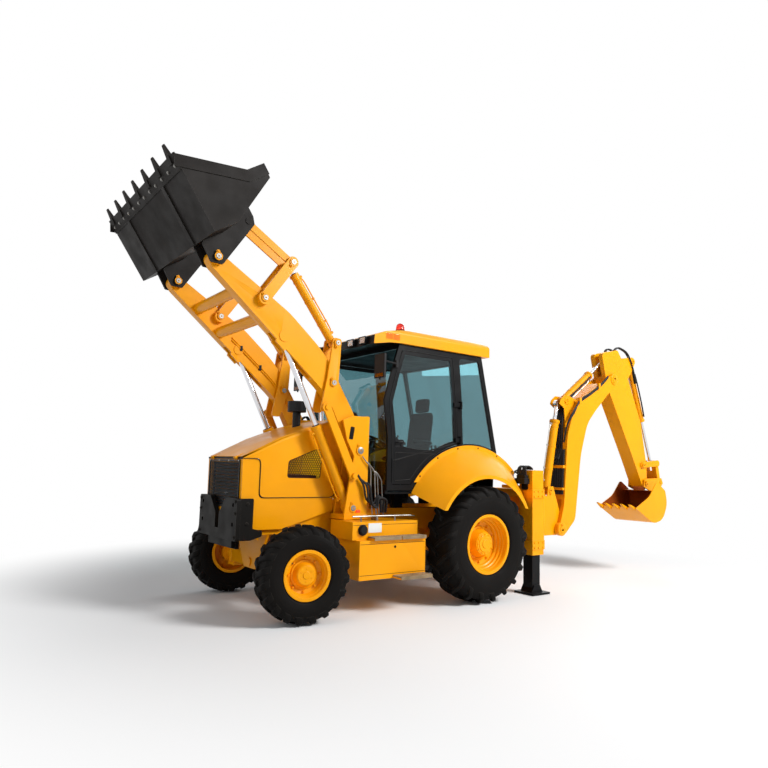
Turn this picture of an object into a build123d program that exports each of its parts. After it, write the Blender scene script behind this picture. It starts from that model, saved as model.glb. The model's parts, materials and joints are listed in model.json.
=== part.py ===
from build123d import *
import os
from math import cos, hypot, pi, radians, sin

# A backhoe loader: loader bucket in front, backhoe on a side-shift frame behind.
# The frame is +X forward, +Y to the machine's left, +Z up, with the ground at z = 0, in millimetres.
# Every length along X below is measured from the rear axle, and the finished pieces are moved
# forward together by REAR_AXLE_X, which brings the middle of the whole machine to x = 0.

REAR_AXLE_X = 261

# Clearances, each used wherever that kind of fit occurs.
PIN_FIT = 0.3
BORE_FIT = 1.0
SIDE_FIT = 10
SEAT_FIT = 0.3
SLIDE_FIT = 0.5

# Wheels and axles.
WHEELBASE = 2230
FRONT_R = 462
FRONT_W = 322
FRONT_Y = 919
FRONT_RIM_R = 238
FRONT_DISH = 20
REAR_R = 655
REAR_W = 430
REAR_Y = 995
REAR_RIM_R = 334
KINGPIN_Y = 720
STEER_REST = -7.5
KINGPIN_R = 22
YOKE_GAP = 190
YOKE_T = 26

# Chassis.
RAIL_IN = 300
RAIL_OUT = 390
RAIL_Z = (REAR_R + 125, REAR_R + 365)
NOSE_X = WHEELBASE + 450
RAIL_X = (-850, NOSE_X)
BEARER_X = (1350, 1640)
BEARER_Z = (930, 985)

BONNET_HINGE = (NOSE_X + 50, 1556)
BONNET_REACH = 1171
BONNET_SEAM = 6
BONNET_HALF = 440
PANEL_T = 10
GRILLE_HALF = 350
GRILLE_Z = (1045, 1500)
GRILLE_SLOTS = 12
VENT = [(2204, 1356), (2195, 1527), (1876, 1656), (1796, 1655), (1812, 1356)]
CLEANER = (1885, 0)
STACK = (1430, -200)

# Loader: heights and places of the pins in the raised pose that the machine stands in.
ARM_PIVOT = (1460, 1660)
LEVER_PIN = (2669, 3138)
BUCKET_PIN = (3185, 3450)
TOP_PIN = (2375, 3565)
REAR_LEVER_PIN = (1820, 2365)
TILT_BASE = (1790, 2800)
LINK_BASE = (1550, 1390)
LIFT_PIN = (2407, 2794)
LIFT_BASE = (1530, 1050)
ARM_Y = 560
ARM_W = 120
LEVER_T = 25
LINK_GAP = ARM_W / 2 + 6
LINK_T = 20
FRONT_GAP = LINK_GAP + LINK_T + 6
LOADER_PIN_R = 32
TOWER_T = 25
TOWER_GAP = 170
FORK_SLOT = 66
EYE_W = 50
LIFT_BARREL_R = 55
LIFT_ROD_R = 30
LIFT_REACH = 960
LIFT_ROD_LEN = 1055
TILT_BARREL_R = 45
TILT_ROD_R = 22
TILT_REACH = 850
TILT_ROD_LEN = 640

# Loader bucket.
BUCKET_HALF = 1063
BUCKET_WALL = 12
BUCKET_EDGE = 25
TOOTH_COUNT = 7
TOOTH_SPAN = 2 * BUCKET_HALF - 226
TOOTH_LEN = 120
TOOTH_W = 70

# Cab.
CAB_WALL_Y = 765
CAB_WALL_T = 30
CAB_FLOOR_Z = 1200
CAB_FLOOR_T = 20
ROOF_HALF = 800
GLASS_T = 6
WINDOW_R = 45
DOOR_GAP = 6
DOOR_HINGE = (90, 790)
DOOR_HINGE_Z = (1830, 2250)
ARCH_C = (-100, 680)
ARCH_R = REAR_R + 415

# Backhoe: pins in the plane of the boom, with the carriage at the far left of its frame.
BOOM_Y = 580
SLEW_X = -1480
BOOM_FOOT = (-1850, 720)
BOOM_RAM_BASE = (-1690, 1230)
BOOM_RAM_EYE = (-1950, 2440)
DIPPER_PIN = (-3100, 2890)
DIPPER_RAM_BASE = (-2060, 2490)
DIPPER_RAM_EYE = (-3170, 3270)
HOE_RAM_BASE = (-3700, 3240)
TIP_PIN = (-3860, 1630)
HOE_PIN = (-3920, 1340)
TIP_ARM = (-405, 30)
HOE_PIN_R = 28
BOOM_HALF = 150
DIPPER_HALF = 105
HOE_HALF = 320
SHIFT_TRAVEL = 1160

# Stabilizers.
LEG_Y = 965
LEG_X = (-1065, -860)
LEG_TOP = 1500
LEG_BOTTOM = 470
FOOT_H = 110
LEG_STROKE = LEG_BOTTOM - FOOT_H - 10


def block(x, y, z):
    """Returns a box from low and high pairs along X, Y and Z."""
    size = Box(x[1] - x[0], y[1] - y[0], z[1] - z[0])
    return Pos((x[0] + x[1]) / 2, (y[0] + y[1]) / 2, (z[0] + z[1]) / 2) * size


def outline(points, corner):
    """Returns the face inside a closed outline. corner is one radius, or a list with 0 at a sharp corner."""
    if not isinstance(corner, (list, tuple)):
        corner = [corner] * len(points)
    face = make_face(Polyline(*points, close=True))
    for point, radius in zip(points, corner):
        if radius:
            face = fillet(face.vertices().sort_by_distance((point[0], point[1], 0))[0], radius)
    return face


def side_plate(points, y, corner=0):
    """Returns an outline in X and Z carried along Y between the pair y."""
    face = Plane((0, y[1], 0), x_dir=(1, 0, 0), z_dir=(0, -1, 0)) * outline(points, corner)
    return extrude(face, amount=y[1] - y[0])


def flat_plate(points, z, corner=0):
    """Returns an outline in X and Y carried up between the pair z."""
    return extrude(Pos(0, 0, z[0]) * outline(points, corner), amount=z[1] - z[0])


def front_plate(points, x, corner=0):
    """Returns an outline in Y and Z carried forward between the pair x."""
    face = Plane((x[0], 0, 0), x_dir=(0, 1, 0), z_dir=(1, 0, 0)) * outline(points, corner)
    return extrude(face, amount=x[1] - x[0])


def pin_y(at, radius, y):
    """Returns a cylinder along Y round the point at, given as X and Z."""
    return Pos(at[0], (y[0] + y[1]) / 2, at[1]) * Rot(90, 0, 0) * Cylinder(radius, y[1] - y[0])


def pin_z(at, radius, z):
    """Returns an upright cylinder round the point at, given as X and Y."""
    return Pos(at[0], at[1], (z[0] + z[1]) / 2) * Cylinder(radius, z[1] - z[0])


def span(start, end, radius):
    """Returns a round bar between two points."""
    line = Vector(*end) - Vector(*start)
    return Plane(origin=start, z_dir=line) * Pos(0, 0, line.length / 2) * Cylinder(radius, line.length)


def about(centre, half):
    """Returns the pair of values that lie half to each side of centre."""
    return (centre - half, centre + half)


def mirrored(shape):
    """Returns the shape with its twin on the other side of the machine."""
    return [shape, mirror(shape, about=Plane.XZ)]


def turned(shape, at, angle):
    """Returns the shape turned about an upright line through at, given as X and Y."""
    return Pos(at[0], at[1], 0) * Rot(0, 0, angle) * Pos(-at[0], -at[1], 0) * shape


def inset(points, depth):
    """Returns an open line of points moved sideways by depth, to its right as it runs."""
    moved = []
    last = len(points) - 1
    for i, point in enumerate(points):
        sides = [points[i - 1:i + 1]] if i == last else [points[i:i + 2]]
        if 0 < i < last:
            sides = [points[i - 1:i + 1], points[i:i + 2]]
        normals = []
        for a, b in sides:
            run = hypot(b[0] - a[0], b[1] - a[1])
            normals.append(((b[1] - a[1]) / run, -(b[0] - a[0]) / run))
        mean = (sum(n[0] for n in normals), sum(n[1] for n in normals))
        size = hypot(*mean)
        share = depth / (normals[0][0] * mean[0] / size + normals[0][1] * mean[1] / size)
        moved.append((point[0] + mean[0] / size * share, point[1] + mean[1] / size * share))
    return moved


def strip(points, depth, y):
    """Returns a bent sheet of even thickness that follows an open line in X and Z."""
    return side_plate(points + inset(points, depth)[::-1], y)


def ram(base, tip, y, reach, barrel_r, rod_r, rod_len, eye_r, pin_r):
    """Returns a cylinder's barrel and rod between the pins base and tip, in the plane at y."""
    line = Vector(tip[0] - base[0], 0, tip[1] - base[1])
    frame = Plane(origin=(base[0], y, base[1]), x_dir=(0, 1, 0), z_dir=line)
    length = line.length
    eye = Rot(0, 90, 0) * Cylinder(eye_r, EYE_W)
    hole = Rot(0, 90, 0) * Cylinder(pin_r + PIN_FIT, EYE_W + 10)
    neck = max(eye_r * 0.7, pin_r + 5)
    tube = Pos(0, 0, (neck + reach) / 2) * Cylinder(barrel_r, reach - neck)
    gland = Pos(0, 0, reach - barrel_r * 0.4) * Cylinder(barrel_r * 1.12, barrel_r * 0.8)
    floor = eye_r * 1.2
    bore = Pos(0, 0, (floor + reach) / 2 + 1) * Cylinder(rod_r + BORE_FIT, reach - floor + 2)
    barrel = eye + tube + gland - hole - bore
    bar = Pos(0, 0, length - rod_len / 2) * Cylinder(rod_r, rod_len)
    head = Pos(0, 0, length) * (eye + Rot(0, 90, 0) * Cylinder(pin_r, EYE_W + 6))
    return frame * barrel, frame * (bar + head)


def hub_profile(pairs):
    """Returns the solid swept round the Y axis by an outline of (across, radius) pairs."""
    face = Plane.YZ * make_face(Polyline(*pairs, close=True))
    return revolve(face, axis=Axis.Y)


def tyre(width, outer, seat, flange):
    """Returns a tyre round the Y axis, centred at the origin, out to the tips of its tread."""
    half = width / 2
    pairs = [(-0.80 * half, seat), (-0.80 * half, flange + 3), (-half, seat + (outer - seat) * 0.40),
             (-0.97 * half, outer * 0.94), (-0.86 * half, outer), (0.86 * half, outer), (0.97 * half, outer * 0.94),
             (half, seat + (outer - seat) * 0.40), (0.80 * half, flange + 3), (0.80 * half, seat)]
    return hub_profile(pairs)


def rim(width, flange, seat, dish, hub_r, hub_out):
    """Returns a wheel round the Y axis: flanges, well, dished disc and hub, facing +Y."""
    half = width / 2
    edge = 0.80 * half
    wall = 10
    barrel = hub_profile([(-edge, seat), (-edge, flange), (-edge - wall, flange), (-edge - wall, seat - wall),
                          (edge + wall, seat - wall), (edge + wall, flange), (edge, flange), (edge, seat)])
    disc = hub_profile([(dish, 0), (dish, hub_r), (dish + 0.18 * edge, seat - wall),
                        (dish + 0.18 * edge + 14, seat - wall), (dish + 16, hub_r), (hub_out, hub_r * 0.72),
                        (hub_out, 0)])
    return barrel + disc


def wheel(x, y, z, width, outer, flange, dish, hub_r, hub_out):
    """Returns the rim and tyre of a left wheel at its place."""
    seat = flange - 22
    place = Pos(x, y, z)
    return place * rim(width, flange, seat, dish, hub_r, hub_out), place * tyre(width, outer, seat, flange)


made = {}


def put(name, *shapes):
    """Keeps the solids of a node under its name, moved to the machine's own frame."""
    solids = []
    for shape in shapes:
        for piece in (shape if isinstance(shape, (list, tuple)) else [shape]):
            solids += piece.solids()
    made[name] = [Pos(REAR_AXLE_X, 0, 0) * solid for solid in solids]


def chassis():
    """Rails, cross members, the hangers of the front axle and the bearer of the loader towers."""
    rail = block(RAIL_X, (RAIL_IN, RAIL_OUT), RAIL_Z)
    frame = rail + mirror(rail, about=Plane.XZ)
    for x, low, high in ((-830, 780, 1020), (-300, 800, 900), (700, 800, 900),
                         (1800, 790, 860), (WHEELBASE + 70, 790, 860), (NOSE_X - 20, 640, 970)):
        frame += block((x - 20, x + 20), (-RAIL_IN - 5, RAIL_IN + 5), (low, high))
    for x in (WHEELBASE - 130, WHEELBASE + 130):
        frame += front_plate([(-RAIL_OUT, 790), (RAIL_OUT, 790), (130, 400), (-130, 400)], about(x, 15))
    frame -= Pos(WHEELBASE, 0, FRONT_R) * Rot(0, 90, 0) * Cylinder(45 + PIN_FIT, 400)
    half = ARM_Y + TOWER_GAP / 2 + TOWER_T
    frame += block(BEARER_X, (-half, half), BEARER_Z)
    for y in (-345, 345):
        frame += block((-90, 90), about(y, 45), (750, RAIL_Z[0]))
    put("chassis_frame", frame + rear_frame())


def front_axle():
    """Swinging front axle: round centre casing, tapered arms and a fork at each end for the kingpin."""
    z = FRONT_R
    beam = side_plate([(WHEELBASE - 80, z - 85), (WHEELBASE + 80, z - 85), (WHEELBASE + 80, z + 85),
                       (WHEELBASE - 80, z + 85)], (-610, 610), 40)
    beam += Pos(WHEELBASE, 60, z) * Sphere(108)
    beam += Pos(WHEELBASE, 0, z) * Rot(0, 90, 0) * Cylinder(45, 320)
    for side in (-1, 1):
        for level in (-1, 1):
            low = z + level * (YOKE_GAP / 2 + YOKE_T / 2)
            ear = block(about(WHEELBASE, 62), about(side * 650, 70), about(low, YOKE_T / 2))
            ear += pin_z((WHEELBASE, side * KINGPIN_Y), 62, about(low, YOKE_T / 2))
            ear -= pin_z((WHEELBASE, side * KINGPIN_Y), KINGPIN_R + PIN_FIT, about(low, YOKE_T))
            beam += ear
        beam += block(about(WHEELBASE, 62), about(side * 600, 15), about(z, YOKE_GAP / 2 + YOKE_T))
    return beam


def knuckles():
    """Steering knuckles: a swivel barrel on the kingpin, a stub and a hub drum, turned with the wheels."""
    z = FRONT_R
    for side, name in ((1, "left"), (-1, "right")):
        at = (WHEELBASE, side * KINGPIN_Y)
        swivel = pin_z(at, 55, about(z, YOKE_GAP / 2 - PIN_FIT))
        swivel += pin_z(at, KINGPIN_R, about(z, YOKE_GAP / 2 + YOKE_T + 8))
        swivel += pin_y((WHEELBASE, z), 60, sorted((side * 722, side * 800)))
        swivel += pin_y((WHEELBASE, z), 110, sorted((side * 790, side * (FRONT_Y + FRONT_DISH - SEAT_FIT))))
        put("knuckle_" + name, turned(swivel, at, STEER_REST))


def wheels():
    """Four wheels, the front pair steered a little to the right."""
    rim_part, tyre_part = wheel(0, REAR_Y, REAR_R, REAR_W, REAR_R, REAR_RIM_R, -10, 175, 110)
    for name, shape in (("rim", rim_part), ("tyre", tyre_part)):
        put("rear_%s_left" % name, shape)
        put("rear_%s_right" % name, mirror(shape, about=Plane.XZ))
    rim_part, tyre_part = wheel(WHEELBASE, FRONT_Y, FRONT_R, FRONT_W, FRONT_R, FRONT_RIM_R, FRONT_DISH, 130, 105)
    for name, shape in (("rim", rim_part), ("tyre", tyre_part)):
        put("front_%s_left" % name, turned(shape, (WHEELBASE, KINGPIN_Y), STEER_REST))
        twin = mirror(shape, about=Plane.XZ)
        put("front_%s_right" % name, turned(twin, (WHEELBASE, -KINGPIN_Y), STEER_REST))


def rear_axle():
    """Rear axle: round centre casing, brake drums and trumpets out to the wheel hubs."""
    casing = pin_y((0, REAR_R), 95, (-760, 760))
    casing += pin_y((0, REAR_R), 185, (-150, 150))
    for side in (-1, 1):
        casing += pin_y((0, REAR_R), 150, sorted((side * 610, side * 740)))
        casing += block((-80, 80), about(side * 345, 45), (REAR_R + 40, RAIL_Z[0] - 30))
        casing += pin_y((0, REAR_R), 120, sorted((side * 760, side * (REAR_Y - 10 - SEAT_FIT))))
    return casing


def engine():
    """Engine block between the rails, with its gearbox behind it."""
    motor = block((1740, 2420), (-250, 250), (860, 1380))
    gearbox = block((1000, 1640), (-210, 210), (620, BEARER_Z[0] - SEAT_FIT))
    gearbox += block((1640, 1740), (-160, 160), (860, 1180))
    put("engine_block", motor + gearbox)


def bonnet():
    """Bonnet lid hinged at its front edge, the fixed nose below its seam, the grille and the cowl behind.

    The lid's rear edge is an arc round the hinge, and so is the edge of the cowl that it passes as it rises.
    """
    top = [(1540, 2012), (1900, 1915), (2300, 1765), (2510, 1660), (NOSE_X + 32, 1560)]
    y = about(0, BONNET_HALF)
    inside = about(0, BONNET_HALF - PANEL_T)
    lid = top + [(NOSE_X + 31, 1545), (2512, 1545), (2512, 1155), (1540, 1155)]
    lid = side_plate(lid, y, [0, 0, 0, 0, 0, 0, 40, 60, 0])
    ridge = [e for e in lid.edges() if abs(abs(e.center().Y) - BONNET_HALF) < 1 and e.center().Z > 1590]
    lid = fillet(ridge, 45)
    under = [(1500, 1999), (1898, 1903), (2296, 1753), (2505, 1648), (NOSE_X + 60, 1545), (NOSE_X + 60, 1000),
             (1500, 1000)]
    lid -= side_plate(under, inside)
    lid &= pin_y(BONNET_HINGE, BONNET_REACH, y)
    vent = side_plate(VENT, about(0, BONNET_HALF + 5), 25)
    lid -= vent
    lid -= pin_z(CLEANER, 45, (1700, 2200))
    strap = [(2650, 1580), (2712, 1549), (2730, 1546), (2740, 1556), (2730, 1566), (2712, 1566), (2650, 1594)]
    ear = [(2700, 1505), (2710, 1505), (2740, 1546), (2740, 1556), (2730, 1566), (2720, 1560), (2718, 1548),
           (2700, 1530)]
    for hinge_y in (-300, 300):
        lid += side_plate(strap, about(hinge_y, 14)) + pin_y(BONNET_HINGE, 10, about(hinge_y, 14))
        lid -= pin_y(BONNET_HINGE, 5 + PIN_FIT, about(hinge_y, 20))
    put("bonnet", lid)
    nose = [(NOSE_X + 30, 1539), (2518, 1539), (2518, 1149), (1640, 1149), (1640, 1015), (2240, 835), (2500, 835),
            (2500, 730), (NOSE_X + 22, 850)]
    nose = side_plate(nose, y, [0, 45, 40, 0, 0, 60, 0, 0, 0])
    nose -= side_plate([(1500, 1600), (NOSE_X + 1, 1600), (NOSE_X + 1, 700), (1500, 700)], inside)
    nose -= block((2600, 2900), about(0, GRILLE_HALF), GRILLE_Z)
    for side in (-1, 1):
        nose -= block((2600, 2900), sorted((side * (RAIL_IN - 5), side * (RAIL_OUT + 5))), (795, 1005))
    cowl = [(1200, 2060), (1634, 1987), (1634, 1015), (1160 + SEAT_FIT, 1015), (1160 + SEAT_FIT, 1295),
            (1200, 1295)]
    hollow = [(1100, 2058), (1650, 1975), (1650, 900), (1100, 900)]
    shroud = side_plate(cowl, y) - side_plate(hollow, inside) - pin_z(STACK, 38, (1700, 2200))
    shroud -= pin_y(BONNET_HINGE, BONNET_REACH + BONNET_SEAM, about(0, BONNET_HALF + 5))
    for hinge_y in (-300, 300):
        nose += pin_y(BONNET_HINGE, 5, about(hinge_y, 28))
        for side in (-1, 1):
            ear_y = about(hinge_y + side * 21, 5)
            nose += side_plate(ear, ear_y) + pin_y(BONNET_HINGE, 10, ear_y)
    for side in (-1, 1):
        rail_y = sorted((side * RAIL_OUT, side * (BONNET_HALF - PANEL_T + 1)))
        nose += block((2300, NOSE_X - 20), rail_y, (900, 960))
        shroud += block((1180, 1300), rail_y, (RAIL_Z[1] - 60, RAIL_Z[1]))
    put("body_panels", nose, shroud)
    mesh = block((NOSE_X - 14, NOSE_X + 1), about(0, GRILLE_HALF + 20), (GRILLE_Z[0] - 20, GRILLE_Z[1] + 20))
    for i in range(GRILLE_SLOTS):
        z = GRILLE_Z[0] + 12 + (GRILLE_Z[1] - GRILLE_Z[0] - 24) * (i + 0.5) / GRILLE_SLOTS
        mesh -= block((2600, 2900), about(0, GRILLE_HALF - 10), about(z, 8))
    put("grille", mesh)


def front_guard():
    """Thick front guard plate with a notch in its top and four holes."""
    z = (735, 1148)
    half = ARM_Y - ARM_W / 2 - 20
    shape = [(-half, z[0]), (half, z[0]), (half, z[1]), (200, z[1]), (45, 985), (45, 830), (-45, 830), (-45, 985),
             (-200, z[1]), (-half, z[1])]
    guard = front_plate(shape, (NOSE_X + 40, NOSE_X + 85), [25, 25, 25, 40, 40, 0, 0, 40, 40, 25])
    for y in (-390, 390):
        for level in (890, 1080):
            guard -= Pos(NOSE_X + 60, y, level) * Rot(0, 90, 0) * Cylinder(22, 100)
    for side in (-1, 1):
        guard += block((NOSE_X, NOSE_X + 40), sorted((side * RAIL_IN, side * RAIL_OUT)), (800, 1000))
    put("front_guard", guard)


def towers():
    """Loader towers: two plates on each side of the arm, with the fixed pins between them."""
    shape = [(1350, BEARER_Z[1]), (1350, 1700), (1345, 2030), (1560, 2030), (1690, 1980), (1630, 1760), (1535, 1600),
             (1640, BEARER_Z[1])]
    pieces = None
    for y in (ARM_Y - TOWER_GAP / 2 - TOWER_T, ARM_Y + TOWER_GAP / 2):
        plate = side_plate(shape, (y, y + TOWER_T))
        plate -= pin_y(ARM_PIVOT, 40 + PIN_FIT, (y - 5, y + TOWER_T + 5))
        pieces = plate if pieces is None else pieces + plate
    inner = (ARM_Y - TOWER_GAP / 2, ARM_Y + TOWER_GAP / 2)
    pieces += block((1350, 1365), inner, (BEARER_Z[1], 2030))
    pieces += pin_y(LIFT_BASE, LOADER_PIN_R, (inner[0], inner[1]))
    pieces += pin_y(LINK_BASE, 28, (inner[1] + TOWER_T, inner[1] + TOWER_T + 60))
    put("loader_towers", mirrored(pieces))


def loader_arms():
    """Two box arms with a bent back, joined by two round cross tubes."""
    y = about(ARM_Y, ARM_W / 2)
    shape = [(1372, 1690), (1510, 2030), (1910, 2665), (2352, 3038), (3120, 3500), (3262, 3400), (1870, 2230),
             (1556, 1640)]
    arm = side_plate(shape, y, [60, 1200, 1200, 900, 50, 50, 900, 60])
    arm += pin_y(ARM_PIVOT, 95, about(ARM_Y, TOWER_GAP / 2 - PIN_FIT))
    arm += pin_y(ARM_PIVOT, 40, about(ARM_Y, TOWER_GAP / 2 + TOWER_T + 4))
    for at, reach in ((LEVER_PIN, FRONT_GAP), (BUCKET_PIN, FRONT_GAP), (REAR_LEVER_PIN, ARM_W / 2 + SIDE_FIT)):
        arm += pin_y(at, 62, about(ARM_Y, reach - 2))
    arm += pin_y(BUCKET_PIN, 75, y)
    arm -= pin_y(LEVER_PIN, LOADER_PIN_R + PIN_FIT, about(ARM_Y, 200))
    arm -= pin_y(BUCKET_PIN, LOADER_PIN_R + PIN_FIT, about(ARM_Y, 200))
    arm -= pin_y(REAR_LEVER_PIN, LOADER_PIN_R + PIN_FIT, about(ARM_Y, 200))
    slot = [(2560, 2960), (2250, 2890), (2080, 2480), (2000, 2200), (2300, 2300), (2560, 2700)]
    arm += pin_y(LIFT_PIN, 60, about(ARM_Y, ARM_W / 2 + 8))
    arm += side_plate([(2330, 2720), (2400, 2640), (2500, 2730), (2480, 2830)], y)
    arm -= side_plate(slot, about(ARM_Y, FORK_SLOT / 2))
    tubes = []
    for at in ((2900, 3205), (2640, 2965)):
        tubes.append(pin_y(at, 62, (-y[0] - 2, y[0] + 2)))
    whole = arm + mirror(arm, about=Plane.XZ)
    for tube in tubes:
        whole += tube
    put("loader_arms", whole)


def rear_levers():
    """Upright levers on the arms: two plates and the pin through the arm."""
    low = (REAR_LEVER_PIN[0] + LINK_BASE[0] - ARM_PIVOT[0], REAR_LEVER_PIN[1] + LINK_BASE[1] - ARM_PIVOT[1])
    shape = [(TILT_BASE[0] - 55, TILT_BASE[1] + 50), (TILT_BASE[0] + 50, TILT_BASE[1] + 55),
             (REAR_LEVER_PIN[0] + 75, REAR_LEVER_PIN[1] + 60), (low[0] + 55, low[1] - 40), (low[0] - 50, low[1] - 45),
             (REAR_LEVER_PIN[0] - 60, REAR_LEVER_PIN[1] - 30)]
    half = ARM_W / 2 + SIDE_FIT
    lever = None
    for y in ((ARM_Y + half, ARM_Y + half + LEVER_T), (ARM_Y - half - LEVER_T, ARM_Y - half)):
        plate = side_plate(shape, y, 30)
        plate -= pin_y(TILT_BASE, LOADER_PIN_R + PIN_FIT, about(ARM_Y, 200))
        lever = plate if lever is None else lever + plate
    lever += pin_y(REAR_LEVER_PIN, LOADER_PIN_R, about(ARM_Y, half + LEVER_T + 10))
    lever += pin_y(low, 28, (ARM_Y + half, ARM_Y + half + LEVER_T + 60))
    put("rear_levers", mirrored(lever))
    y = (ARM_Y + half + LEVER_T + 20, ARM_Y + half + LEVER_T + 45)
    link = side_plate(bar_outline(LINK_BASE, low, 45), y)
    link += pin_y(LINK_BASE, 52, y) + pin_y(low, 52, y)
    link -= pin_y(LINK_BASE, 28 + PIN_FIT, about(ARM_Y, 300))
    link -= pin_y(low, 28 + PIN_FIT, about(ARM_Y, 300))
    put("levelling_links", mirrored(link))


def bar_outline(start, end, half):
    """Returns the four corners of a straight bar between two points in X and Z."""
    run = hypot(end[0] - start[0], end[1] - start[1])
    side = (-(end[1] - start[1]) / run * half, (end[0] - start[0]) / run * half)
    return [(start[0] + side[0], start[1] + side[1]), (end[0] + side[0], end[1] + side[1]),
            (end[0] - side[0], end[1] - side[1]), (start[0] - side[0], start[1] - side[1])]


def front_linkage():
    """Front levers and bucket links, both in pairs of plates beside the arm, and the pins that carry them."""
    through = about(ARM_Y, 200)
    levers, links, tops = [], [], []
    far = (BUCKET_PIN[0] + TOP_PIN[0] - LEVER_PIN[0], BUCKET_PIN[1] + TOP_PIN[1] - LEVER_PIN[1])
    for side in (-1, 1):
        y = sorted((ARM_Y + side * FRONT_GAP, ARM_Y + side * (FRONT_GAP + LEVER_T)))
        plate = side_plate(bar_outline(LEVER_PIN, TOP_PIN, 58), y)
        plate += pin_y(LEVER_PIN, 68, y) + pin_y(TOP_PIN, 62, y)
        levers.append(plate - pin_y(LEVER_PIN, LOADER_PIN_R + PIN_FIT, through)
                      - pin_y(TOP_PIN, LOADER_PIN_R + PIN_FIT, through))
        y = sorted((ARM_Y + side * LINK_GAP, ARM_Y + side * (LINK_GAP + LINK_T)))
        plate = side_plate(bar_outline(TOP_PIN, far, 38), y) + pin_y(TOP_PIN, 52, y) + pin_y(far, 52, y)
        links.append(plate - pin_y(TOP_PIN, LOADER_PIN_R + PIN_FIT, through)
                     - pin_y(far, LOADER_PIN_R + PIN_FIT, through))
        y = sorted((ARM_Y + side * (EYE_W / 2 + 10), ARM_Y + side * (FRONT_GAP + LEVER_T + 12)))
        tops.append(pin_y(TOP_PIN, LOADER_PIN_R, y))
    put("tilt_levers", *[mirrored(plate) for plate in levers])
    put("bucket_links", *[mirrored(plate) for plate in links])
    put("top_pins", *[mirrored(pin) for pin in tops])
    put("lever_pins", mirrored(pin_y(LEVER_PIN, LOADER_PIN_R, about(ARM_Y, FRONT_GAP + LEVER_T + 12))))
    put("bucket_pins", mirrored(pin_y(BUCKET_PIN, LOADER_PIN_R, about(ARM_Y, FRONT_GAP + LEVER_T + 22))))
    reach = ARM_W / 2 + SIDE_FIT + LEVER_T + 10
    put("tilt_base_pins", mirrored(pin_y(TILT_BASE, LOADER_PIN_R, about(ARM_Y, reach))))


def loader_rams():
    """Lift cylinders between tower and arm, tilt cylinders between rear and front levers."""
    barrel, rod = ram(LIFT_BASE, LIFT_PIN, ARM_Y, LIFT_REACH, LIFT_BARREL_R, LIFT_ROD_R, LIFT_ROD_LEN, 62,
                      LOADER_PIN_R)
    put("lift_barrels", mirrored(barrel))
    put("lift_rods", mirrored(rod))
    barrel, rod = ram(TILT_BASE, TOP_PIN, ARM_Y, TILT_REACH, TILT_BARREL_R, TILT_ROD_R, TILT_ROD_LEN, 42,
                      LOADER_PIN_R)
    put("tilt_barrels", mirrored(barrel))
    put("tilt_rods", mirrored(rod))


def loader_bucket():
    """Wide bucket: bent shell, side plates, cutting edge with teeth, ribs and two pairs of ears."""
    lip, heel = (3790, 4150), (3380, 3545)
    back = [(3160, 3690), (2870, 4200), (2945, 4320)]
    shell_line = [lip, heel] + back
    side = shell_line + [(3110, 4205)]
    inner = inset(shell_line, BUCKET_WALL)
    opened = [(lip[0] + 300, lip[1] + 120)] + inner + [(3100, 4700), (4000, 4600)]
    half = BUCKET_HALF
    shell = side_plate(shell_line + inner[::-1], about(0, half))
    ears = None
    far = (BUCKET_PIN[0] + TOP_PIN[0] - LEVER_PIN[0], BUCKET_PIN[1] + TOP_PIN[1] - LEVER_PIN[1])
    ear_shape = [(3350, 3560), (3250, 3390), (3130, 3385), (far[0] - 65, far[1] - 20), (far[0] - 45, far[1] + 60),
                 (2950, 4090), (3170, 3760)]
    for hand in (-1, 1):
        y = sorted((ARM_Y + hand * FRONT_GAP, ARM_Y + hand * (FRONT_GAP + LEVER_T)))
        ear = side_plate(ear_shape, y, 20) - pin_y(BUCKET_PIN, LOADER_PIN_R + PIN_FIT, about(ARM_Y, 200))
        ear += pin_y(far, LOADER_PIN_R, sorted((ARM_Y + hand * LINK_GAP, ARM_Y + hand * (FRONT_GAP + LEVER_T + 8))))
        ears = ear if ears is None else ears + ear
    body = shell + ears + mirror(ears, about=Plane.XZ)
    body -= side_plate(opened, about(0, half - BUCKET_WALL))
    for y in ((half - BUCKET_WALL, half), (-half, -half + BUCKET_WALL)):
        body += side_plate(side, y)
    run = hypot(lip[0] - heel[0], lip[1] - heel[1])
    way = ((lip[0] - heel[0]) / run, (lip[1] - heel[1]) / run)
    edge_from = (lip[0] - way[0] * 140, lip[1] - way[1] * 140)
    edge = [edge_from, (lip[0] + way[0] * 12, lip[1] + way[1] * 12)]
    for y in (-ARM_Y, ARM_Y):
        body += strip([edge_from, (heel[0] + way[0] * 4, heel[1] + way[1] * 4)], -16, about(y, 30))
    for y in ((half - 1, half + 10), (-half - 10, -half + 1)):
        body += strip([lip, (3110, 4205), back[-1]], -110, y)
    body += strip(edge, 10, about(0, half))
    body += strip(edge, -10, about(0, half))
    for i in range(TOOTH_COUNT):
        y = -TOOTH_SPAN / 2 + TOOTH_SPAN * i / (TOOTH_COUNT - 1)
        frame = Plane(origin=(lip[0] - way[0] * 60, y, lip[1] - way[1] * 60), x_dir=(0, 1, 0),
                      z_dir=(way[0], 0, way[1]))
        root = frame * Rectangle(TOOTH_W, 56)
        tip = frame * Pos(0, 0, TOOTH_LEN + 60) * Rectangle(TOOTH_W * 0.6, 14)
        body += loft([root, tip])
    put("loader_bucket", body)


def cab_outline():
    """Returns the outline of a cab side, seen from the left."""
    return [(1160, 1240), (1160, 1820), (1220, 2220), (1130, 2550), (1030, 2880), (-262, 2880), (-540, 1700),
            (-500, 1330), (740, 1240)]


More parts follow.
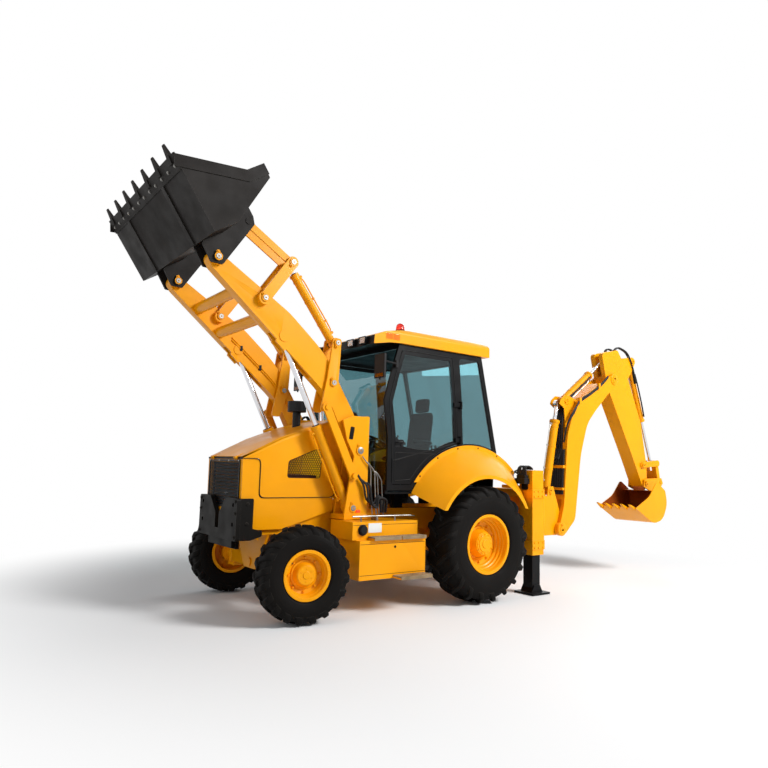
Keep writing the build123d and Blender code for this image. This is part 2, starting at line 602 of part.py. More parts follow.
def cab():
    """Hollow cab: two side frames with their openings, cross members, floor, panels, roof and glass."""
    y = (CAB_WALL_Y - CAB_WALL_T, CAB_WALL_Y)
    arch = pin_y(ARCH_C, ARCH_R, (y[0] - 5, y[1] + 5))
    door_hole = [(1105, 1300), (1105, 1822), (1163, 2218), (1078, 2535), (990, 2820), (215, 2820), (155, 2320),
                 (112, 1700), (700, 1300)]
    pane_hole = [(110, 2820), (-212, 2820), (-480, 1700), (30, 1700), (62, 2320)]
    keep = pin_y(ARCH_C, ARCH_R + 45, (y[0] - 5, y[1] + 5))
    door_cut = side_plate(door_hole, (y[0] - 1, y[1] + 1), WINDOW_R) - keep
    pane_cut = side_plate(pane_hole, (y[0] - 1, y[1] + 1), WINDOW_R) - keep
    wall = side_plate(cab_outline(), y) - arch - door_cut - pane_cut
    inner = CAB_WALL_Y - CAB_WALL_T
    frame = wall + mirror(wall, about=Plane.XZ)
    frame += side_plate([(985, 2825), (1030, 2880), (1045, 2825)], about(0, inner + 1))
    frame += side_plate([(-262, 2880), (-275, 2825), (-215, 2825), (-200, 2880)], about(0, inner + 1))
    frame += block((1100, 1160), (-inner - 1, inner + 1), (1240, 1300))
    frame += block((-530, -490), (-inner - 1, inner + 1), (1640, 1700))
    floor = block((-480, 1150), (-inner - 1, inner + 1), (CAB_FLOOR_Z + 1, CAB_FLOOR_Z + CAB_FLOOR_T))
    for x in (-300, 700):
        for side in (-1, 1):
            floor += block(about(x, 60), about(side * 345, 40), (RAIL_Z[1], CAB_FLOOR_Z + 5))
    frame += block((1130, 1160), (-inner - 1, inner + 1), (CAB_FLOOR_Z, 1245))
    frame += side_plate([(-475, CAB_FLOOR_Z), (-490, 1645), (-530, 1645), (-510, CAB_FLOOR_Z)], about(0, inner + 1))
    for side in (-1, 1):
        at = (DOOR_HINGE[0], side * DOOR_HINGE[1])
        for z in DOOR_HINGE_Z:
            frame += pin_z(at, 8, about(z, 44))
            for level in (-36, 36):
                frame += pin_z(at, 14, about(z + level, 9))
                frame += block(about(at[0], 14), sorted((side * (CAB_WALL_Y - 2), at[1])), about(z + level, 9))
    put("cab_frame", frame + floor)
    reach = inner - SEAT_FIT
    screen = strip([(1140, 1300), (1140, 1820), (1198, 2215), (1110, 2540), (1022, 2820)], GLASS_T, about(0, reach))
    back = strip([(-246, 2820), (-515, 1702)], GLASS_T, about(0, reach))
    quarter = side_plate(pane_hole, (y[1] - 12, y[1] - 12 + GLASS_T), WINDOW_R) - keep
    put("cab_glass", screen, back, mirrored(quarter))
    leaf = side_plate(inset_closed(door_hole, DOOR_GAP), y, WINDOW_R - DOOR_GAP)
    keep_door = pin_y(ARCH_C, ARCH_R + 45 + DOOR_GAP, (y[0] - 5, y[1] + 5))
    keep_glass = pin_y(ARCH_C, ARCH_R + 100 + DOOR_GAP, (y[0] - 5, y[1] + 5))
    window = side_plate(inset_closed(door_hole, DOOR_GAP + 50), y) - keep_glass
    door = leaf - keep_door - window
    pane = side_plate(inset_closed(door_hole, DOOR_GAP + 50), (y[1] - 12, y[1] - 12 + GLASS_T), WINDOW_R) - keep_glass
    for z, x in zip(DOOR_HINGE_Z, (150, 180)):
        door += block((DOOR_HINGE[0], x + 20), (CAB_WALL_Y + 11, CAB_WALL_Y + 21), about(z, 25))
        door += block(about(x, 18), (CAB_WALL_Y - 5, CAB_WALL_Y + 15), about(z, 25))
        door += pin_z(DOOR_HINGE, 14, about(z, 25))
        door -= pin_z(DOOR_HINGE, 8 + PIN_FIT, about(z, 30))
    put("door_left", door, pane)
    put("door_right", mirror(door, about=Plane.XZ), mirror(pane, about=Plane.XZ))
    roof = [(-370, 2882), (-370, 3030), (-230, 3065), (120, 3090), (600, 3070), (1000, 3040), (1000, 2882)]
    visor = [(999, 2882), (999, 3040), (1250, 2990), (1400, 2930), (1410, 2830), (1190, 2870)]
    cap = side_plate(roof, about(0, ROOF_HALF)) + side_plate(visor, about(0, ROOF_HALF))
    half = ROOF_HALF
    across = [(-half, 2700), (half, 2700), (half, 3000), (half - 60, 3052), (half - 300, 3095), (300 - half, 3095),
              (60 - half, 3052), (-half, 3000)]
    put("cab_roof", cap & front_plate(across, (-500, 1500), [0, 0, 40, 60, 300, 300, 60, 40]))


def inset_closed(points, depth):
    """Returns a closed outline, listed anticlockwise from its lower front corner, drawn in by depth."""
    face = make_face(Polyline(*points, close=True))
    drawn = offset(face, amount=-depth, kind=Kind.INTERSECTION)
    edges = drawn.faces()[0].outer_wire().order_edges()
    return [((e @ 0).X, (e @ 0).Y) for e in edges]


def cab_inside():
    """Seat on its pedestal, console and steering wheel."""
    top = CAB_FLOOR_Z + CAB_FLOOR_T
    cushion = block((60, 540), (-240, 240), (1540 + SEAT_FIT, 1650))
    back = side_plate([(60, 1650), (170, 1650), (90, 2200), (0, 2200)], about(0, 230))
    back += side_plate([(5, 2199), (85, 2199), (70, 2380), (0, 2380)], about(0, 130))
    put("seat", cushion + back)
    pedestal = block((80, 480), (-180, 180), (top, 1540))
    column = block((900, 1060), (-120, 120), (top, 1500)) + span((950, 0, 1480), (820, 0, 1790), 32)
    column += Plane(origin=(818, 0, 1795), z_dir=(-0.387, 0, 0.922)) * Torus(190, 14)
    column += Plane(origin=(818, 0, 1795), z_dir=(-0.387, 0, 0.922)) * Box(380, 40, 14)
    put("cab_fittings", pedestal, column)


def fenders():
    """Rear fenders: a sloping skin from the arch at the cab down to an outer rim over the tyre."""
    inner_y = CAB_WALL_Y + SEAT_FIT
    outer_y = 1170

    def slab(grow):
        near = fender_face(inner_y, ARCH_C, ARCH_R - 12 - grow, 30)
        away = fender_face(outer_y - grow, (0, REAR_R), REAR_R + 120 - grow, 30)
        return loft([near, away], ruled=True)

    skin = slab(0) - slab(8)
    under = pin_y((0, REAR_R), REAR_R + 80, (inner_y - 5, outer_y + 5))
    skin -= under
    lip = pin_y(ARCH_C, ARCH_R + 28, (inner_y, inner_y + 8)) - pin_y(ARCH_C, ARCH_R - 22, (inner_y - 1, inner_y + 9))
    lip -= block((-1300, 1300), (700, 800), (-500, 1330))
    skin += lip
    skin -= block((-1300, -850), (700, 1300), (900, 2000))
    put("fenders", mirrored(skin))


def fender_face(y, centre, radius, low):
    """Returns a face at y bounded by an arch above and a straight line below it."""
    start, end = radians(low), radians(180 - low)
    points = [(centre[0] + radius * cos(a), y, centre[1] + radius * sin(a)) for a in (start, pi / 2, end)]
    arc = ThreePointArc(*points)
    return make_face([arc, Line(points[2], points[0])])


def side_boxes():
    """Tank and tool boxes beside the chassis, with their steps."""
    left = block((775, WHEELBASE - 590), (480, 980), (350, 742)) + block((825, WHEELBASE - 550), (480, 900), (742, 925))
    left += block((900, 1300), (RAIL_OUT, 485), (780, 880))
    left += block((800, 1210), (978, 1130), (350, 370))
    left += block((1140, 1480), (898, 1020), (742, 765)) + block((800, 1120), (898, 1020), (742, 765))
    put("side_boxes", mirrored(left))


def roof_lamps():
    """Square lamps in the visor, marker lamps, mirrors, exhaust and air pre-cleaner."""
    lamps = []
    for y in (-600, -360, 360, 600):
        lamps.append(side_plate([(1408.8, 2845), (1400.8, 2925), (1432, 2925), (1432, 2845)], about(y, 65)))
    base = side_plate([(840, 3052 + SEAT_FIT), (960, 3043 + SEAT_FIT), (960, 3070), (840, 3070)], about(600, 60))
    lamps.append(base + pin_z((900, 600), 55, (3060, 3160)))
    stack = pin_z(STACK, 38, (1990, 2600))
    stack += Pos(STACK[0], STACK[1], 2600) * Rot(0, 30, 0) * Cylinder(38, 160)
    put("exhaust", stack)
    cleaner = pin_z(CLEANER, 45, (1895, 2080)) + pin_z(CLEANER, 105, (2080, 2200))
    put("air_precleaner", cleaner)
    arm = block((1065, 1095), (CAB_WALL_Y + SEAT_FIT, 800), (2600, 2680))
    arm += span((1080, 785, 2640), (1390, 900, 2640), 10) + span((1390, 900, 2640), (1390, 900, 2420), 10)
    arm += block((1378, 1402), (810, 990), (2440, 2700))
    put("lamps_and_mirrors", lamps, mirrored(arm))


def rear_frame():
    """Frame of the backhoe: two upright leg boxes, two slide beams and the plate to the chassis."""
    x = LEG_X
    frame = None
    for side in (-1, 1):
        box = block(x, about(side * LEG_Y, 105), (LEG_BOTTOM, LEG_TOP))
        for z in ((535, 645), (1155, 1265)):
            box += block((x[0] - 10, x[1] + 10), about(side * LEG_Y, 115), z)
        box -= block((x[0] + 25, x[1] - 25), about(side * LEG_Y, 80), (LEG_BOTTOM - 5, LEG_TOP - 25))
        frame = box if frame is None else frame + box
    for z in ((540, 640), (1160, 1260)):
        frame += block((x[0] - 35, x[1]), (-LEG_Y + 100, LEG_Y - 100), z)
    frame += block((x[1] - 20, x[1] + 12), (-RAIL_OUT, RAIL_OUT), (600, 1200))
    return frame


def stabilizers():
    """Stabilizer legs that slide in the upright boxes, each with its foot."""
    for side, name in ((1, "left"), (-1, "right")):
        leg = block((LEG_X[0] + 32, LEG_X[1] - 32), about(side * LEG_Y, 73), (60, 950))
        pad_x = (LEG_X[0] + 25 + SLIDE_FIT, LEG_X[1] - 25 - SLIDE_FIT)
        leg += block(pad_x, about(side * LEG_Y, 80 - SLIDE_FIT), (850, 950))
        foot = block((LEG_X[0] - 65, LEG_X[1] + 45), about(side * LEG_Y, 150), (0, 25))
        foot += side_plate([(LEG_X[0], 25), (LEG_X[1], 25), (LEG_X[1] - 50, FOOT_H), (LEG_X[0] + 50, FOOT_H)],
                           about(side * LEG_Y, 90))
        put("stabilizer_" + name, leg + foot)


def carriage():
    """Side-shift carriage on the slide beams, with the two ears that hold the kingpost."""
    face = LEG_X[0] - 35
    plate = block((face - 40, face - SEAT_FIT), about(BOOM_Y, 250), (500, 1300))
    for z in (590, 1210):
        ear = block((SLEW_X, face - 30), about(BOOM_Y, 120), about(z, 30))
        ear += pin_z((SLEW_X, BOOM_Y), 120, about(z, 30))
        ear -= pin_z((SLEW_X, BOOM_Y), 45 + PIN_FIT, about(z, 40))
        plate += ear
    put("carriage", plate)


def kingpost():
    """Kingpost that turns in the carriage and carries the boom foot and the boom cylinder."""
    body = pin_z((SLEW_X, BOOM_Y), 120, (622, 1178)) + pin_z((SLEW_X, BOOM_Y), 45, (555, 1250))
    cheek = [(SLEW_X, 640), (SLEW_X, 1160), (-1625, 1160), (-1640, 1290), (-1745, 1290),
             (BOOM_FOOT[0] - 80, 800), (BOOM_FOOT[0] - 80, 640)]
    for y in (about(BOOM_Y - 84, 10), about(BOOM_Y + 84, 10)):
        body += side_plate(cheek, y)
    body += block((BOOM_FOOT[0] + 110, SLEW_X), about(BOOM_Y, 76), (650, 700))
    body += pin_y(BOOM_FOOT, 40, about(BOOM_Y, BOOM_HALF + 12))
    body += pin_y(BOOM_RAM_BASE, HOE_PIN_R, about(BOOM_Y, 95))
    put("kingpost", body)


def boom():
    """Bent box boom with forked ends and lugs for the two cylinders."""
    y = about(BOOM_Y, BOOM_HALF)
    shape = [(-1790, 700), (-1905, 1045), (-1990, 2000), (-2100, 2270), (-2280, 2520), (-3060, 2960), (-3180, 2860),
             (-2640, 2390), (-2440, 2190), (-2280, 1740), (-2140, 840), (-1920, 650)]
    body = side_plate(shape, y, [0, 200, 500, 500, 400, 50, 60, 300, 500, 1400, 150, 60])
    body += pin_y(BOOM_FOOT, 90, y) + pin_y(DIPPER_PIN, 85, y)
    gap = about(BOOM_Y, 100)
    body -= side_plate([(-1600, 500), (-1600, 1120), (-1960, 1120), (-2150, 900), (-2150, 500)], gap)
    fork = [(-2795, 3150), (-2795, 2450), (-3400, 2450), (-3400, 3150)]
    body -= side_plate(fork, about(BOOM_Y, DIPPER_HALF + 10))
    body -= pin_y(BOOM_FOOT, 40 + PIN_FIT, about(BOOM_Y, 300))
    body -= pin_y(DIPPER_PIN, 38 + PIN_FIT, about(BOOM_Y, 300))
    lug = [(-2000, 2380), (-1900, 2440), (-1930, 2500), (-2010, 2560), (-2110, 2560), (-2330, 2500), (-2150, 2200),
           (-2030, 2080)]
    hump = None
    for side in (-1, 1):
        plate = side_plate(lug, about(BOOM_Y + side * 78, 8))
        hump = plate if hump is None else hump + plate
    body += hump
    body += pin_y(DIPPER_RAM_BASE, HOE_PIN_R, about(BOOM_Y, 90))
    channel = [(-1700, 2700), (-1700, 1640), (-1958, 1640), (-2045, 1780), (-2050, 2280), (-2200, 2530),
               (-2500, 2760), (-2500, 2900)]
    body -= side_plate(channel, about(BOOM_Y, 76)) - pin_y(DIPPER_RAM_BASE, HOE_PIN_R, about(BOOM_Y, 90))
    put("boom", body)


def dipper():
    """Straight tapered dipper with a raised tail."""
    y = about(BOOM_Y, DIPPER_HALF)
    shape = [(-2990, 2790), (-2870, 3270), (-3270, 3370), (-3420, 3180), (-3850, 2290), (-3990, 1620), (-3985, 1330),
             (-3870, 1285), (-3640, 1700)]
    body = side_plate(shape, y, [30, 60, 60, 200, 500, 60, 40, 40, 60])
    body += pin_y(DIPPER_PIN, 80, y)
    body += pin_y(DIPPER_PIN, 38, about(BOOM_Y, BOOM_HALF + 12))
    tail = [(-2780, 2900), (-2780, 3520), (-3330, 3520), (-3330, 3150), (-3200, 3040), (-3040, 2950)]
    body -= side_plate(tail, about(BOOM_Y, 36))
    body += side_plate([(-3380, 3150), (-3420, 3260), (-3700, 3310), (-3770, 3230), (-3690, 3100), (-3480, 2850)],
                       about(BOOM_Y, 82))
    body -= side_plate([(-3610, 3400), (-3900, 3400), (-3900, 3000), (-3700, 2700), (-3570, 2900), (-3620, 3150)],
                       about(BOOM_Y, 62))
    body += pin_y(HOE_RAM_BASE, HOE_PIN_R, about(BOOM_Y, 90))
    body -= pin_y(TIP_PIN, HOE_PIN_R + PIN_FIT, about(BOOM_Y, 200))
    body -= pin_y(HOE_PIN, HOE_PIN_R + PIN_FIT, about(BOOM_Y, 200))
    put("dipper", body)


def hoe_rams():
    """Boom, dipper and bucket cylinders."""
    for name, base, tip, reach, barrel_r, rod_r, rod_len in (
            ("boom", BOOM_RAM_BASE, BOOM_RAM_EYE, 1000, 60, 32, 1000),
            ("dipper", DIPPER_RAM_BASE, DIPPER_RAM_EYE, 770, 55, 30, 810),
            ("hoe_bucket", HOE_RAM_BASE, tip_end(), 980, 50, 26, 1050)):
        barrel, rod = ram(base, tip, BOOM_Y, reach, barrel_r, rod_r, rod_len, 55, HOE_PIN_R)
        put(name + "_barrel", barrel)
        put(name + "_rod", rod)


def tip_end():
    """Returns the pin that joins the tipping lever, the tipping link and the bucket cylinder."""
    return (TIP_PIN[0] + TIP_ARM[0], TIP_PIN[1] + TIP_ARM[1])


def hoe_bucket():
    """Digging bucket with its hangers and teeth, the tipping levers and the tipping link."""
    lip = (-3340, 985)
    line = [lip, (-3800, 750), (-4060, 800), (-4185, 1040), (-4140, 1240), (-3960, 1235)]
    inner = inset(line, BUCKET_WALL)
    half = HOE_HALF
    bends = [0, 250, 250, 250, 90, 0]
    tight = [0] + [bend - BUCKET_WALL for bend in bends[4:0:-1]] + [0]
    body = side_plate(line + inner[::-1], about(BOOM_Y, half), bends + tight)
    side = line[:-1] + [(-3910, 1375), (-3700, 1150)]
    far = (HOE_PIN[0] + TIP_ARM[0], HOE_PIN[1] + TIP_ARM[1])
    hanger = [(-3850, 1290), (-3870, 1400), (-3960, 1420), (far[0] - 20, far[1] + 60), (far[0] - 60, far[1] - 20),
              (-4200, 1150), (-4120, 1200)]
    gap = DIPPER_HALF + 10
    for side_sign in (-1, 1):
        ear = side_plate(hanger, about(BOOM_Y + side_sign * (gap + 12), 12))
        body += ear
    for y in ((BOOM_Y + half - 12, BOOM_Y + half), (BOOM_Y - half, BOOM_Y - half + 12)):
        body += side_plate(side, y, bends[:5] + [60, 300])
    body += pin_y(HOE_PIN, HOE_PIN_R, about(BOOM_Y, gap + 30))
    body += pin_y(far, HOE_PIN_R, about(BOOM_Y, gap + 30))
    way = (cos(radians(27)), sin(radians(27)))
    for i in range(5):
        y = BOOM_Y - half + 50 + (2 * half - 100) * i / 4
        frame = Plane(origin=(lip[0] - way[0] * 40, y, lip[1] - way[1] * 40), x_dir=(0, 1, 0),
                      z_dir=(way[0], 0, way[1]))
        root = frame * Rectangle(56, 44)
        tip = frame * Pos(0, 0, 150) * Rectangle(34, 12)
        body += loft([root, tip])
    put("hoe_bucket", body)
    end = tip_end()
    lever = None
    for side_sign in (-1, 1):
        y = about(BOOM_Y + side_sign * (gap + 8), 8)
        plate = side_plate(bar_outline(TIP_PIN, end, 45), y) + pin_y(TIP_PIN, 52, y) + pin_y(end, 52, y)
        lever = plate if lever is None else lever + plate
    lever += pin_y(TIP_PIN, HOE_PIN_R, about(BOOM_Y, gap + 22))
    put("tipping_levers", lever)
    y = about(BOOM_Y, gap - 2)
    link = side_plate(bar_outline(end, far, 38), (BOOM_Y - gap + 2, BOOM_Y + gap - 2))
    link += pin_y(end, 48, y) + pin_y(far, 48, y)
    link -= pin_y(far, HOE_PIN_R + PIN_FIT, about(BOOM_Y, 200))
    link -= block(about(end[0], 150), about(BOOM_Y, 34), (end[1] - 115, end[1] + 200))
    put("tipping_link", link)


chassis()
put("axles", front_axle(), rear_axle())
knuckles()
wheels()
engine()
bonnet()
fenders()
front_guard()
towers()
loader_arms()
rear_levers()
front_linkage()
loader_rams()
loader_bucket()
cab()
cab_inside()
side_boxes()
roof_lamps()
stabilizers()
carriage()
kingpost()
boom()
dipper()
hoe_rams()
hoe_bucket()

os.makedirs("parts", exist_ok=True)
for node, solids in made.items():
    shape = solids[0] if len(solids) == 1 else Compound(children=solids)
    export_step(shape, "parts/%s.step" % node)
    print(node, len(solids))
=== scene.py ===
# %% [markdown]
# # A backhoe loader, dressed for its portrait
# The machine comes from CAD as bare solids that already have their true sizes. This file gives them
# rounded edges, paint, rubber and glass, and adds the parts that are too fine for the solids: tread
# blocks, bolts, hoses, seams, meshes and lamps. Everything is in metres, with +X forward, +Y to the
# machine's left and +Z up, and each new piece rides on the body that carries it.

# %% Load the machine
import json
from math import cos, hypot, pi, radians, sin

import bmesh
import bpy
import numpy as np
from mathutils import Matrix, Vector


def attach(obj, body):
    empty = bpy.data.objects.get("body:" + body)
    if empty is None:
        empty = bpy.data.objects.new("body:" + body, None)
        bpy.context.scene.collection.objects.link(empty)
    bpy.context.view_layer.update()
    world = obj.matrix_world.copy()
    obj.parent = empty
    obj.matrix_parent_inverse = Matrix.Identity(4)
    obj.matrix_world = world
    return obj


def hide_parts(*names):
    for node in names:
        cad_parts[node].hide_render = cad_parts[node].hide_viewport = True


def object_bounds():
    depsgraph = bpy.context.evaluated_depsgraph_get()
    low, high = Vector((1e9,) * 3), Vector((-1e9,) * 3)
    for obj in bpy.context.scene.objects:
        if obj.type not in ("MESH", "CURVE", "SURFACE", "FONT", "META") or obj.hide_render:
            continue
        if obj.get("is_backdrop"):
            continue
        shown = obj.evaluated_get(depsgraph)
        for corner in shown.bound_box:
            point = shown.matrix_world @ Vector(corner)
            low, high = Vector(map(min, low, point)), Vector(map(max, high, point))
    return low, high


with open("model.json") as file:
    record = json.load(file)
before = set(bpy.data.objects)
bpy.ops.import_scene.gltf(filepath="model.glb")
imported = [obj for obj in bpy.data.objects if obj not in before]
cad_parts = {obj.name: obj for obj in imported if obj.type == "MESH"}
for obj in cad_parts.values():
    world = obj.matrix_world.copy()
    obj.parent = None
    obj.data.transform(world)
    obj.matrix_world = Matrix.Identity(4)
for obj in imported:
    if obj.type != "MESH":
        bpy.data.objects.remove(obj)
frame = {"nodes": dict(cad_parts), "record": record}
cad_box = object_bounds()
BODY_OF = {node: body for body, nodes in frame["record"]["behaviour"]["bodies"].items() for node in nodes}

# %% [markdown]
# ## The camera
# The photograph was taken from the machine's front left, standing, with a slightly wide lens. Its place
# was fitted once to the wheels, the cab's corners and the pins, so a camera built from the same numbers
# puts every part where the photograph has it. The view is written as three directions that make up the
# camera's own axes, because angles are easier to get wrong than arrows.

# %% Camera
CAMERA_AT = Vector((5.729, 6.505, 1.504))
YAW, PITCH, ROLL = radians(-126.41), radians(7.16), radians(1.58)
LENS = 30.54
SENSOR = 36.0

ahead = Vector((cos(YAW) * cos(PITCH), sin(YAW) * cos(PITCH), sin(PITCH)))
level = Vector((sin(YAW), -cos(YAW), 0))
upright = level.cross(ahead)
right = level * cos(ROLL) + upright * sin(ROLL)
above = upright * cos(ROLL) - level * sin(ROLL)
camera_data = bpy.data.cameras.new("portrait_camera")
camera_data.lens = LENS
camera_data.sensor_width = SENSOR
camera_data.clip_end = 200
camera = bpy.data.objects.new("portrait_camera", camera_data)
camera.matrix_world = Matrix.Translation(CAMERA_AT) @ Matrix((right, above, -ahead)).transposed().to_4x4()
bpy.context.scene.collection.objects.link(camera)
bpy.context.scene.camera = camera
print("camera looks along", [round(v, 3) for v in ahead])

# %% [markdown]
# ## Finishes
# A painted machine outdoors is never one flat colour. The paint has a fine orange-peel skin, which bends
# the highlights a little, and a slow drift of tone where dust and sun have been. Both are useful for more
# than one paint, so each is a node group: a small recipe with named inputs, built once and reused. Every
# pattern reads Object coordinates, so it is fixed to the metal and moves with it.

# %% Tools for shader recipes
def new_group(name, inputs, outputs):
    """Makes a shader group with (name, type, value) inputs and (name, type) outputs."""
    tree = bpy.data.node_groups.new(name, "ShaderNodeTree")
    for title, kind, value in inputs:
        socket = tree.interface.new_socket(name=title, in_out="INPUT", socket_type=kind)
        socket.default_value = value
    for title, kind in outputs:
        tree.interface.new_socket(name=title, in_out="OUTPUT", socket_type=kind)
    return tree, tree.nodes.new("NodeGroupInput"), tree.nodes.new("NodeGroupOutput")


def node(tree, kind, links=(), **values):
    """Adds a node; values set its properties, or its sockets where the name starts with s_."""
    made = tree.nodes.new(kind)
    for key, value in values.items():
        if key.startswith("s_"):
            name = key[2:].replace("_", " ")
            made.inputs[int(name) if name.isdigit() else name].default_value = value
        else:
            setattr(made, key, value)
    for name, source in dict(links).items():
        tree.links.new(source, made.inputs[name])
    return made


NUMBER, COLOUR, ARROW = "NodeSocketFloat", "NodeSocketColor", "NodeSocketVector"
print("socket kinds", NUMBER, COLOUR, ARROW)

# %% [markdown]
# The mottle multiplies a colour by a slow cloud of noise, from a darkest share up to 1, so that no large
# face is quite even.

# %% Slow mottle
mottle, given, result = new_group(
    "slow_mottle",
    [("Colour", COLOUR, (1, 1, 1, 1)), ("Darkest", NUMBER, 0.85), ("Scale", NUMBER, 2.0)],
    [("Colour", COLOUR), ("Amount", NUMBER)])
where = node(mottle, "ShaderNodeTexCoord").outputs["Object"]
cloud = node(mottle, "ShaderNodeTexNoise", {"Vector": where, "Scale": given.outputs["Scale"]}, s_Detail=6.0,
             s_Roughness=0.6)
spread = node(mottle, "ShaderNodeMapRange", {"Value": cloud.outputs["Fac"], "To Min": given.outputs["Darkest"]},
              s_From_Min=0.3, s_From_Max=0.7, s_To_Max=1.0)
tinted = node(mottle, "ShaderNodeVectorMath", {0: given.outputs["Colour"], 1: spread.outputs["Result"]},
              operation="MULTIPLY")
mottle.links.new(tinted.outputs["Vector"], result.inputs["Colour"])
mottle.links.new(spread.outputs["Result"], result.inputs["Amount"])
print("group", mottle.name)

# %% [markdown]
# The skin is a fine noise that bends the surface direction by a hair, with a second, slow noise that lets
# the gloss drift between two limits.

# %% Fine skin
skin, given, result = new_group(
    "fine_skin",
    [("Scale", NUMBER, 400.0), ("Strength", NUMBER, 0.1), ("Depth", NUMBER, 0.001), ("Low", NUMBER, 0.25),
     ("High", NUMBER, 0.4)],
    [("Normal", ARROW), ("Roughness", NUMBER)])
where = node(skin, "ShaderNodeTexCoord").outputs["Object"]
grain = node(skin, "ShaderNodeTexNoise", {"Vector": where, "Scale": given.outputs["Scale"]}, s_Detail=2.0)
bump = node(skin, "ShaderNodeBump", {"Height": grain.outputs["Fac"], "Strength": given.outputs["Strength"],
                                     "Distance": given.outputs["Depth"]})
patches = node(skin, "ShaderNodeTexNoise", {"Vector": where}, s_Scale=5.0, s_Detail=5.0)
rough = node(skin, "ShaderNodeMapRange", {"Value": patches.outputs["Fac"], "To Min": given.outputs["Low"],
                                          "To Max": given.outputs["High"]}, s_From_Min=0.35, s_From_Max=0.65)
skin.links.new(bump.outputs["Normal"], result.inputs["Normal"])
skin.links.new(rough.outputs["Result"], result.inputs["Roughness"])
print("group", skin.name)

# %% [markdown]
# Edges lose their paint first and gather polish. The edge mask compares the true surface direction with one
# that is averaged over a few millimetres: where the two differ, there is an edge.

# %% Edge mask
edges, given, result = new_group(
    "edge_mask", [("Radius", NUMBER, 0.006), ("Break", NUMBER, 12.0)], [("Mask", NUMBER)])
soft = node(edges, "ShaderNodeBevel", {"Radius": given.outputs["Radius"]}, samples=4)
true = node(edges, "ShaderNodeNewGeometry")
alike = node(edges, "ShaderNodeVectorMath", {0: soft.outputs["Normal"], 1: true.outputs["Normal"]},
             operation="DOT_PRODUCT")
where = node(edges, "ShaderNodeTexCoord").outputs["Object"]
broken = node(edges, "ShaderNodeTexNoise", {"Vector": where, "Scale": given.outputs["Break"]}, s_Detail=8.0)
limit = node(edges, "ShaderNodeMath", {0: broken.outputs["Fac"]}, operation="MULTIPLY_ADD", s_1=0.16, s_2=0.86)
mask = node(edges, "ShaderNodeMapRange", {"Value": alike.outputs["Value"], "From Max": limit.outputs["Value"]},
            s_From_Min=0.75, s_To_Min=1.0, s_To_Max=0.0)
edges.links.new(mask.outputs["Result"], result.inputs["Mask"])
print("group", edges.name)

# %% [markdown]
# Dust settles on faces that look up, so its mask is the upward part of the surface direction, broken up by
# noise.

# %% Settled dust
dust, given, result = new_group(
    "settled_dust", [("Scale", NUMBER, 9.0), ("Amount", NUMBER, 0.5)], [("Mask", NUMBER)])
true = node(dust, "ShaderNodeNewGeometry")
parts = node(dust, "ShaderNodeSeparateXYZ", {"Vector": true.outputs["Normal"]})
upward = node(dust, "ShaderNodeMapRange", {"Value": parts.outputs["Z"]}, s_From_Min=0.2, s_From_Max=0.95)
where = node(dust, "ShaderNodeTexCoord").outputs["Object"]
flecks = node(dust, "ShaderNodeTexNoise", {"Vector": where, "Scale": given.outputs["Scale"]}, s_Detail=8.0,
              s_Roughness=0.65)
patch = node(dust, "ShaderNodeMapRange", {"Value": flecks.outputs["Fac"]}, s_From_Min=0.35, s_From_Max=0.75)
both = node(dust, "ShaderNodeMath", {0: upward.outputs["Result"], 1: patch.outputs["Result"]},
            operation="MULTIPLY")
share = node(dust, "ShaderNodeMath", {0: both.outputs["Value"], 1: given.outputs["Amount"]},
             operation="MULTIPLY")
dust.links.new(share.outputs["Value"], result.inputs["Mask"])
print("group", dust.name)

# %% [markdown]
# Each finish is then a short list: its colour, how dark its mottle goes, its skin, the colour under worn
# edges and how much dust lies on it. One function turns a row of that list into a material, and the
# glossy paints get a thin clear coat on the shader itself.

# %% Painted and moulded finishes
FINISH = {}


def use(tree, group, **values):
    """Places a group in a material with its own values."""
    made = node(tree, "ShaderNodeGroup", node_tree=group)
    for title, value in values.items():
        made.inputs[title].default_value = value
    return made


def laid_over(tree, below, mask, colour):
    """Mixes a plain colour over a tone where a mask is white."""
    mix = node(tree, "ShaderNodeMix", {"Factor": mask.outputs["Mask"]}, data_type="RGBA")
    tree.links.new(below, mix.inputs[6])
    mix.inputs[7].default_value = colour
    return mix.outputs[2]


def finish(name, colour, mottled, mottle_scale, grain, grain_strength, rough, metal=0.0, coat=0.0, shine=0.3,
           worn=None, wear_radius=0.005, dusty=0.0, dust_colour=(0.30, 0.24, 0.17, 1)):
    """Makes a material: mottled colour, worn edges, dust, grain and gloss."""
    made = bpy.data.materials.new(name)
    made.use_nodes = True
    tree = made.node_tree
    shader = tree.nodes["Principled BSDF"]
    shader.inputs["Metallic"].default_value = metal
    shader.inputs["Coat Weight"].default_value = coat
    shader.inputs["Specular IOR Level"].default_value = shine
    shader.inputs["Coat Roughness"].default_value = 0.08
    base = use(tree, mottle, Colour=(*colour, 1), Darkest=mottled, Scale=mottle_scale)
    tone = base.outputs["Colour"]
    if worn is not None:
        tone = laid_over(tree, tone, use(tree, edges, Radius=wear_radius), (*worn, 1))
    if dusty:
        tone = laid_over(tree, tone, use(tree, dust, Amount=dusty), dust_colour)
    tree.links.new(tone, shader.inputs["Base Color"])
    texture = use(tree, skin, Scale=grain, Strength=grain_strength, Low=rough[0], High=rough[1])
    tree.links.new(texture.outputs["Normal"], shader.inputs["Normal"])
    tree.links.new(texture.outputs["Roughness"], shader.inputs["Roughness"])
    FINISH[name] = made
    return made


print("finish() reads", finish.__code__.co_argcount, "values")

# %% [markdown]
# The list itself reads like a paint shop's card. The machine has one yellow and three blacks: satin on the
# cab, dull on the guard, and the bucket's, which soil has worn.

